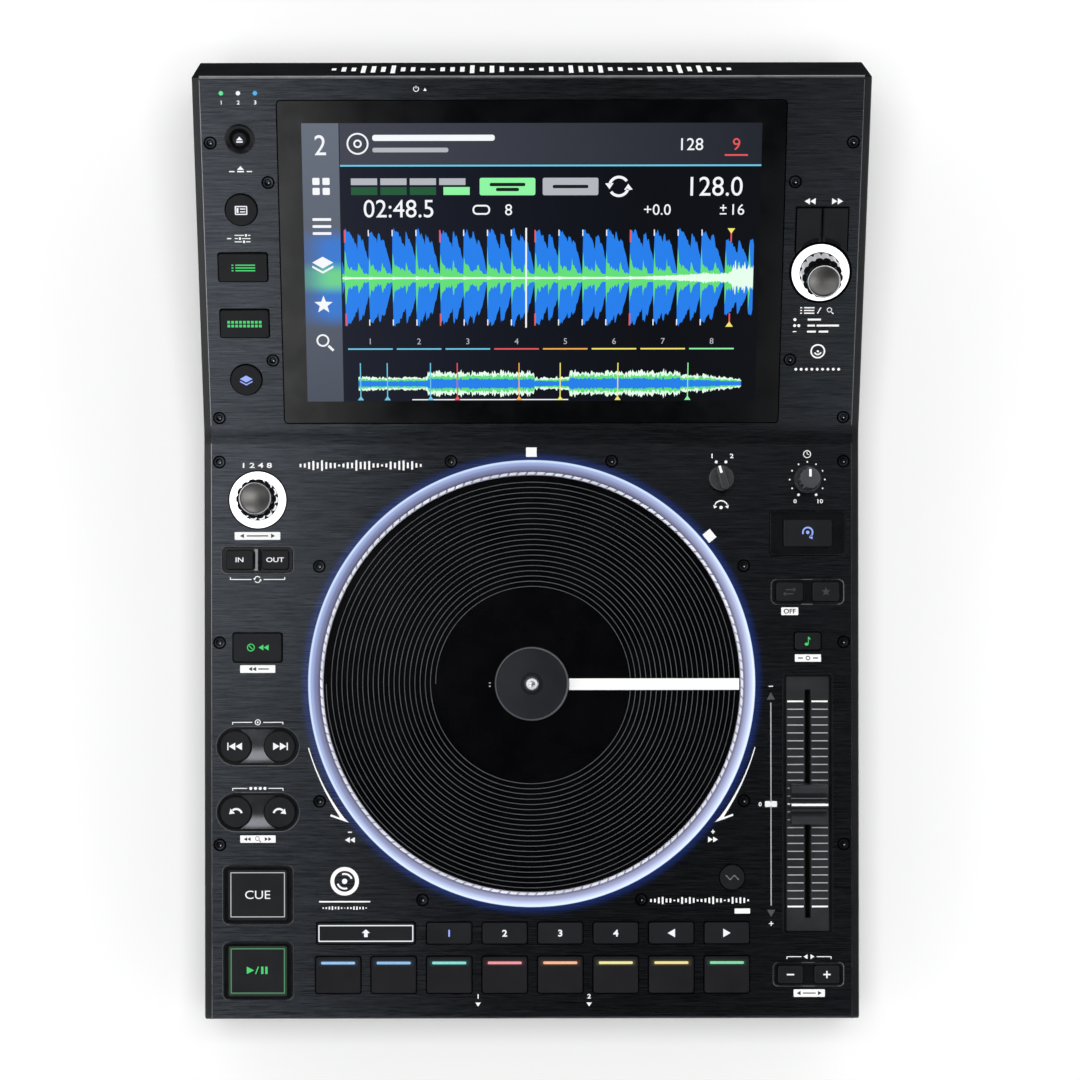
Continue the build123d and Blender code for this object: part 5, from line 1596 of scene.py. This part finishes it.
for key, x, u, rise, material, loops in (
    ("media_eject", -138.3, 145.5, 1.0, white_glow, eject_sign(1.15)),
    ("view", -138.5, 111.6, KEY_RISE, white_glow, shifted(window_sign(), 0, 0, 1.35)),
    ("source", -138.5, 83.6, KEY_RISE, green_glow, list_sign(9.5)),
    ("shortcuts", -138.5, 55.9, KEY_RISE, green_glow, tiles_sign()),
    ("layer", -138.5, 27.8, KEY_RISE, blue_glow, shifted(sheets_sign(), 0, 0, 1.45)),
):
    legend(key + "_button", up(x, u, above=rise), material, loops)

# %% [markdown]
# The browse keys end in an arc round the ring of light. Their lower edges are shaded, and so is
# the gap between them. The shade is a thin dark crescent that rides on its key.

# %% Shades on the browse keys
SHADE_STEPS = 12


def key_shade(side):
    """A crescent round the ring of light, thinning outwards, and a strip along the middle gap."""
    outer, inner = [], []
    for step in range(SHADE_STEPS + 1):
        share = step / SHADE_STEPS
        a = radians(90 - side * (5.2 + 32 * share))
        reach = 15.65 + 1.75 * sqrt(1 - share**2)
        outer.append((reach * cos(a), reach * sin(a)))
        inner.append((15.6 * cos(a), 15.6 * sin(a)))
    return [outer + inner[::-1], bar(0.5, 13.4, side * 0.6, 24.4)]


shade_black = moulded("shade_black", tone(11, 12, 14), 0.5, grains=2.4, specular=0.1)
for key, side in (("browse_back_button", -1), ("browse_forward_button", 1)):
    printed(key + "_shade", shade_black, key, (key_shade(side), up(*SELECT_XY, above=KEY_RISE)))

# %% [markdown]
# The slanted rear face carries a wide row of bars. The face's own axes are worked out from its
# upper and lower edge, so that the bars lie flat on it.

# %% Rear face print
rear_corner = up(0, REAR_EDGE).to_translation()
rear_foot = Vector((0, 0.232, 0.0745))
across = Vector((-1, 0, 0))
down = (rear_foot - rear_corner).normalized()
rear_face = Matrix((across, -down, across.cross(-down))).transposed().to_4x4()
rear_face.translation = (rear_corner + rear_foot) / 2
rear_place = rear_face @ Matrix.Scale(MM, 4)
printed("rear_face_print", white_ink, "console", (pulse_row(41, 4.7, 26.0, 4), rear_place))

# %% [markdown]
# Three light pipes stand beside the screen's upper left corner. They are clear rods, lit by a
# board below, and only their tops show, so each is a small glowing dot in a colour of its own.

# %% Indicator lights
pipe_tones = (tone(90, 230, 150), tone(245, 248, 250), tone(70, 180, 235))
for number, (x, colour) in enumerate(zip((-146.4, -138.4, -130.4), pipe_tones), 1):
    lit = ink(f"indicator_light_{number}", colour, 0.95)
    printed(f"indicator_{number}", lit, "console", ([circle(1.05, steps=20)], up(x, 167.3, above=0.15)))

# %% [markdown]
# The display shows a made-up player view: a slate side bar with plain pictures, a header, a few
# readings, a large mirrored wave and a small overview. Shapes in thin layers draw it more sharply
# than an image would. Each layer glows, has the faint gloss of the glass, and lies a few
# hundredths of a millimetre over the one before. The three largest areas come first, and their
# colour follows the place on the screen.

# %% Screen areas
GLASS_TOP = -0.1
LAYER = 0.03
SCREEN_LEFT, SCREEN_RIGHT, SCREEN_LOW, SCREEN_HIGH = -109.0, 109.0, 16.7, 153.0
MENU_RIGHT = -91.4
HEADER_LOW = 133.2
WAVE_MID = 78.1


def layer(number, x=0.0, u=0.0):
    """A place on the screen, on one of its layers."""
    return up(x, u, above=GLASS_TOP + number * LAYER)


def screen_area(name, colour_of):
    """A glowing area whose colour follows its place on the screen."""
    material, tree = start_material(name)
    where = local(tree, up(0, 0))
    dust = times(tree, use_group(tree, grain_group, where, Grains=5.0)["Height"], 0.08)
    inputs = {
        "Base Color": tone(6, 7, 9),
        "Roughness": 0.24,
        "Specular IOR Level": 0.1,
        "Emission Color": mix(tree, dust, colour_of(tree, axes_of(tree, where)), (0, 0, 0, 1)),
        "Emission Strength": 1.0,
    }
    surface(tree, inputs)
    return material


def base_colour(tree, axes):
    return mix(tree, remap(tree, axes[0], SCREEN_LEFT, 60), tone(20, 25, 40), tone(4, 6, 12))


def header_colour(tree, axes):
    return mix(tree, remap(tree, axes[0], MENU_RIGHT, SCREEN_RIGHT), tone(66, 68, 80), tone(34, 37, 45))


def menu_colour(tree, axes):
    """Slate, with a soft blue and green glow beside the wave."""
    colour = mix(tree, remap(tree, axes[1], SCREEN_LOW, SCREEN_HIGH), tone(76, 82, 95), tone(104, 112, 126))
    away = calc(tree, "ABSOLUTE", calc(tree, "SUBTRACT", axes[1], WAVE_MID))
    inward = remap(tree, axes[0], SCREEN_LEFT - 1, MENU_RIGHT - 4, 0.25, 0.85, "SMOOTHSTEP")
    for near, far, glow in ((16, 26, tone(52, 128, 224)), (2, 9, tone(120, 224, 130))):
        share = times(tree, remap(tree, away, near, far, 1, 0, "SMOOTHSTEP"), inward)
        colour = mix(tree, share, colour, glow)
    return colour


for name, number, shape, colour_of in (
    ("screen_base", 0, box(SCREEN_LEFT, SCREEN_LOW, SCREEN_RIGHT, SCREEN_HIGH), base_colour),
    ("screen_menu", 1, box(SCREEN_LEFT, SCREEN_LOW, MENU_RIGHT, SCREEN_HIGH), menu_colour),
    ("screen_header", 1, box(MENU_RIGHT + 0.4, HEADER_LOW, SCREEN_RIGHT, SCREEN_HIGH), header_colour),
):
    printed(name, screen_area(name + "_glow", colour_of), "console", ([shape], layer(number)))

# %% [markdown]
# The wave is three ragged heights over the same beat, each mirrored about the middle line: a blue
# bass, green middle notes and a white treble that swells towards the end. Noise with fixed seeds
# makes it ragged in the same way every time.

# %% The large wave
WAVE_FROM, WAVE_TO = MENU_RIGHT + 0.5, 106.5
BEAT = 11.4
COLUMNS, VIEW_COLUMNS = 560, 380
FALL_BASE = 2.718
BASS_HEIGHT, MIDDLE_HEIGHT = 24.6, 19.0
SOFTER_FROM, SWELL_FROM, LATE_FROM = 88, 40, 94


def rough(x, fineness, seed):
    """A repeatable ragged number from about -1 to 1."""
    return noise.noise(Vector((x * fineness, seed, 0.5)))


def burst(x, start, length, hold=0.1, bend=1.3):
    """A burst that holds at first and has fallen to nothing after a length, in beats of two."""
    share = ((x - WAVE_FROM) / BEAT - start) % 2.0 / length
    return 1.0 - max(0.0, (share - hold) / (1 - hold)) ** bend if share < 1 else 0.0


def spike(x, start, fall):
    """A sharp start that falls away."""
    return FALL_BASE ** (-fall * (((x - WAVE_FROM) / BEAT - start) % 1.0))


def bass(x):
    loud = max(burst(x, 0.12, 0.95, 0.18), 0.96 * burst(x, 0.66, 0.62), 0.98 * burst(x, 1.12, 0.8, 0.2))
    loud = max(loud, 0.92 * burst(x, 1.5, 0.6, 0.05), 0.8 * burst(x, 1.7, 0.44))
    return max(0.6, BASS_HEIGHT * loud * (0.94 + 0.12 * rough(x, 1.6, 1)) * (1.0 - 0.22 * (x > SOFTER_FROM)))


def middle_notes(x):
    loud = max(0.95 * spike(x, 0.12, 11), 0.42 * spike(x, 0.12, 1.3), 0.56 * spike(x, 0.66, 5.0))
    return max(1.9, MIDDLE_HEIGHT * loud * (0.84 + 0.4 * rough(x, 1.9, 2)))


def treble(x):
    swell = min(1.0, max(0.0, (x - SWELL_FROM) / 44)) ** 2
    late = min(1.0, max(0.0, (x - LATE_FROM) / 4))
    ragged = 0.5 + abs(rough(x, 2.3, 3))
    return 0.45 + 0.5 * spike(x, 0.12, 9) * ragged + (2.2 * swell + 4.2 * late) * ragged


def mirrored(height_at, start, end, columns, middle):
    """A loop that follows a height above and below a middle line."""
    places = [start + (end - start) * step / columns for step in range(columns + 1)]
    over = [(x, middle + height_at(x)) for x in places]
    return over + [(x, middle - height_at(x) * 0.98) for x in reversed(places)]


def screen_ink(name, colour):
    return ink(name, colour, 1.0, 0.24, 0.1)


wave_blue = screen_ink("wave_blue", tone(38, 124, 230))
wave_green = screen_ink("wave_green", tone(98, 218, 118))
wave_white = screen_ink("wave_white", tone(226, 250, 232))
for name, number, height_at, material in (
    ("wave_bass", 1, bass, wave_blue),
    ("wave_middle", 2, middle_notes, wave_green),
    ("wave_treble", 3, treble, wave_white),
):
    shape = mirrored(height_at, WAVE_FROM, WAVE_TO, COLUMNS, WAVE_MID)
    printed(name, material, "console", ([shape], layer(number)))

# %% [markdown]
# The overview shows a whole piece of music in the same three colours, loud and quiet by turns. It
# is the same mirrored outline, with one level for each part of the music.

# %% The overview
VIEW_FROM, VIEW_TO, VIEW_MID = -84.0, 102.0, 25.6
LEVELS = ((0.18, 0.55), (0.46, 0.95), (0.55, 0.5), (0.84, 1.0), (2.0, 0.7))


def loudness(x):
    """The level of the part of the piece that x falls in, fading out at the end."""
    part = (x - VIEW_FROM) / (VIEW_TO - VIEW_FROM)
    level = next(level for end, level in LEVELS if part < end)
    return level * (1.0 - 0.5 * max(0.0, (part - 0.9) / 0.1))


for name, number, size, seed, material in (
    ("overview_treble", 1, 7.4, 4, wave_white),
    ("overview_middle", 2, 5.2, 5, wave_green),
    ("overview_bass", 3, 3.2, 6, wave_blue),
):
    def height_at(x):
        return size * loudness(x) * (0.78 + 0.32 * rough(x, 2.6, seed))

    shape = mirrored(height_at, VIEW_FROM, VIEW_TO, VIEW_COLUMNS, VIEW_MID)
    printed(name, material, "console", ([shape], layer(number)))

# %% [markdown]
# The readings are plain numbers and pictures. All marks of one colour make one piece, so each
# table says the colour, the layer and the shapes. First come the numbers and the white pictures.

# %% Readings
INKS = {
    "white": tone(240, 242, 246), "sky": tone(110, 196, 226), "red": tone(226, 88, 92),
    "amber": tone(240, 170, 80), "yellow": tone(240, 226, 110), "mint": tone(140, 240, 160),
    "silver": tone(176, 178, 186), "moss": tone(34, 88, 56), "black": tone(22, 30, 28),
}
PIECE_NAMES = {"silver": "screen_grey_marks", "black": "screen_chip_lines"}
TAB_Y = 43.0
marks = {name: Marks() for name in INKS}

for name, text, x, u, height, stretch in (
    ("white", "2", -100.2, 142.6, 9.6, 0.9), ("white", "128", 76.0, 142.8, 5.8, 1.0),
    ("white", "02:48.5", -63.5, 112.0, 8.6, 0.95), ("white", "128.0", 88.0, 122.6, 9.2, 0.95),
    ("white", "8", -11.0, 111.4, 5.4, 1.0), ("white", "+0.0", 60.0, 111.4, 5.2, 1.0),
    ("white", "16", 98.6, 111.4, 5.2, 1.0), ("red", "9", 97.0, 142.8, 5.8, 1.0),
):
    marks[name].write(text, height, layer(2, x, u), stretch, 0.0)
for x, u, loops in (
    (-82.5, 143.2, ring(5.2, 0.8, steps=40) + ring(2.0, 0.8, steps=24)),
    (-46.5, 146.0, [rounded_box(58, 2.9, 1.2)]),
    (-100.2, 122.8, [rounded_box(3.4, 3.4, 0.5, x, y) for x in (-2.4, 2.4) for y in (-2.4, 2.4)]),
    (-100.2, 103.4, [rounded_box(9.0, 1.3, 0.5, 0, y) for y in (-3.4, 0, 3.4)]),
    (-100.2, 84.6, shifted(sheets_sign(), 0, 0, 2.4)),
    (-100.2, 65.0, star_sign(4.6)),
    (-100.2, 46.6, lens_sign(2.4)),
    (-24.0, 111.4, border(8.4, 4.8, 2.2, 0.8)),
    (41.5, 122.6, loop_sign(3.1)),
    (91.4, 112.2, shifted([plus], 0, 0, 1.2) + [bar(3.2, 0.6, 0, -2.9)]),
    (0, 0, [box(-58.0, 17.3, 18.0, 17.8)]),
):
    marks["white"].draw(loops, layer(2, x, u))
print("white faces so far", len(marks["white"].bm.faces))

# %% [markdown]
# Then come the beat ticks over and under the wave, the fields of the header, eight numbered tabs,
# and the markers in the overview.

# %% Ticks, tabs and markers
for number in range(16):
    x = -89.5 + BEAT * number
    if number % 4:
        marks["white"].draw([bar(0.5, 3.0, x, 100.2), bar(0.5, 3.0, x, 56.2)], layer(4))
for x in (-89.5, -43.9, 1.7, 47.3, 95.5):
    marks["red"].draw([bar(0.7, 6.0, x, 98.6), bar(0.7, 6.0, x, 57.6)], layer(4))
for name, number, loops in (
    ("white", 4, [bar(0.8, 49.0, -2.6, WAVE_MID)]),
    ("sky", 2, [box(MENU_RIGHT + 0.4, 132.3, SCREEN_RIGHT, 133.1)]),
    ("red", 2, [bar(11.0, 0.8, 97.0, 137.6)]),
    ("yellow", 5, [triangle(95.5, 101.0, 2.6, 3.6, 270)]),
    ("yellow", 5, [triangle(95.5, 55.2, 2.6, 3.6, 90)]),
    ("mint", 2, [rounded_box(26.5, 8.4, 0.9, -11.5, 122.6)]),
    ("mint", 2, [box(-42.0, 118.6, -29.5, 122.4)]),
    ("silver", 2, [rounded_box(36, 2.2, 0.9, -57.5, 140.2)]),
    ("silver", 2, [rounded_box(26.5, 8.4, 0.9, 18.5, 122.6)]),
    ("black", 4, [rounded_box(17, 1.6, 0.7, -11.5, 123.6)]),
    ("black", 4, [rounded_box(11, 1.6, 0.7, -11.5, 121.2)]),
    ("black", 4, [rounded_box(17, 1.6, 0.7, 18.5, 122.6)]),
):
    marks[name].draw(loops, layer(number))
for number, name in enumerate(("sky", "sky", "sky", "red", "amber", "yellow", "yellow", "mint")):
    x = -78.0 + 23.6 * number
    marks[name].draw([bar(21.6, 0.7, x, TAB_Y)], layer(2))
    marks["silver"].write(str(number + 1), 2.9, layer(2, x, 46.8), 1.0, 0.0)
for number in range(4):
    x = -86.0 + 14.0 * number
    marks["silver"].draw([box(x, 123.4, x + 12.5, 126.6)], layer(2))
    if number < 3:
        marks["moss"].draw([box(x, 118.6, x + 12.5, 122.4)], layer(2))
for name, x in (
    ("sky", -83.0), ("sky", -70.0), ("sky", -49.0), ("red", -36.0),
    ("amber", -6.0), ("yellow", 14.0), ("yellow", 42.0), ("mint", 76.0),
):
    marks[name].draw([bar(0.5, 18.0, x, 27.0)], layer(4))
    marks[name].draw([triangle(x, 18.4, 2.2, 3.0, 90)], layer(5))
for name, colour in INKS.items():
    piece_name = PIECE_NAMES.get(name, f"screen_{name}_marks")
    marks[name].keep(piece_name, screen_ink("screen_" + name, colour), "console")

# %% [markdown]
# The setting is a pale floor under soft light. One wide lamp straight above gives the plain light
# and a short soft shadow. The other four only show as sheen: two over the left for the left of the
# metal, and two faint ones over the right. The sky is bright low down, a little more so towards
# the rear, and dark overhead, so level metal on the right stays nearly black.

# %% Light
def soft_box(name, place, width, height, radiance, sheen=True):
    """A level area light over the scene, which gives either sheen or plain light."""
    data = bpy.data.lights.new(name, "AREA")
    data.shape = "RECTANGLE"
    data.size, data.size_y = width, height
    data.energy = radiance * pi * width * height
    lamp = bpy.data.objects.new(name, data)
    lamp.location = place
    lamp.visible_camera = False
    lamp.visible_glossy = sheen
    lamp.visible_diffuse = not sheen
    bpy.context.scene.collection.objects.link(lamp)


soft_box("plain_light", (0, 0, 2.0), 1.0, 1.0, 8.1, sheen=False)
soft_box("left_sheen", (-0.73, 0.24, 1.5), 1.1, 0.56, 2.7)
soft_box("front_sheen", (-0.74, -0.84, 1.5), 1.1, 0.48, 3.3)
soft_box("right_sheen", (0.40, 0.46, 1.5), 0.9, 0.5, 0.6)
soft_box("front_right_sheen", (0.74, -0.91, 1.5), 0.9, 0.4, 1.5)

world = bpy.data.worlds.new("sky")
world.use_nodes = True
tree = world.node_tree
tree.nodes.clear()
toward = axes_of(tree, add(tree, "TexCoord").outputs["Generated"])
glow = remap(tree, toward[2], 0.45, 0.80, 1.2, 0.01, "SMOOTHSTEP")
glow = times(tree, glow, remap(tree, toward[1], -1, 1, 0.8, 1.3))
background = add(tree, "Background", {"Color": (1, 1, 1, 1), "Strength": glow})
add(tree, "OutputWorld", {"Surface": background.outputs[0]})
bpy.context.scene.world = world
print("five lights and a sky")

# %% [markdown]
# The floor is nearly white and keeps the object's shadow. It glows a very little where it is seen,
# straight or in metal and glass, so it turns white without more light on the object.

# %% Floor
FLOOR_SHADE = 0.94
FLOOR_LIFT = 0.09

floor_white, tree = start_material("floor_white")
path = add(tree, "LightPath")
seen = calc(tree, "ADD", path.outputs["Is Camera Ray"], path.outputs["Is Glossy Ray"])
seen = calc(tree, "ADD", seen, path.outputs["Is Transmission Ray"], clamp=True)
matt = add(tree, "BsdfDiffuse", {"Color": (FLOOR_SHADE, FLOOR_SHADE, FLOOR_SHADE, 1)})
lift = add(tree, "Emission", {"Color": (1, 1, 1, 1), "Strength": times(tree, seen, FLOOR_LIFT)})
both = add(tree, "AddShader", {0: matt.outputs[0], 1: lift.outputs[0]})
add(tree, "OutputMaterial", {"Surface": both.outputs[0]})

bm = bmesh.new()
bmesh.ops.create_grid(bm, x_segments=1, y_segments=1, size=4.0)
mesh = bpy.data.meshes.new("floor")
bm.to_mesh(mesh)
bm.free()
mesh.materials.append(floor_white)
floor = bpy.data.objects.new("floor", mesh)
bpy.context.scene.collection.objects.link(floor)
print("floor shade", FLOOR_SHADE)
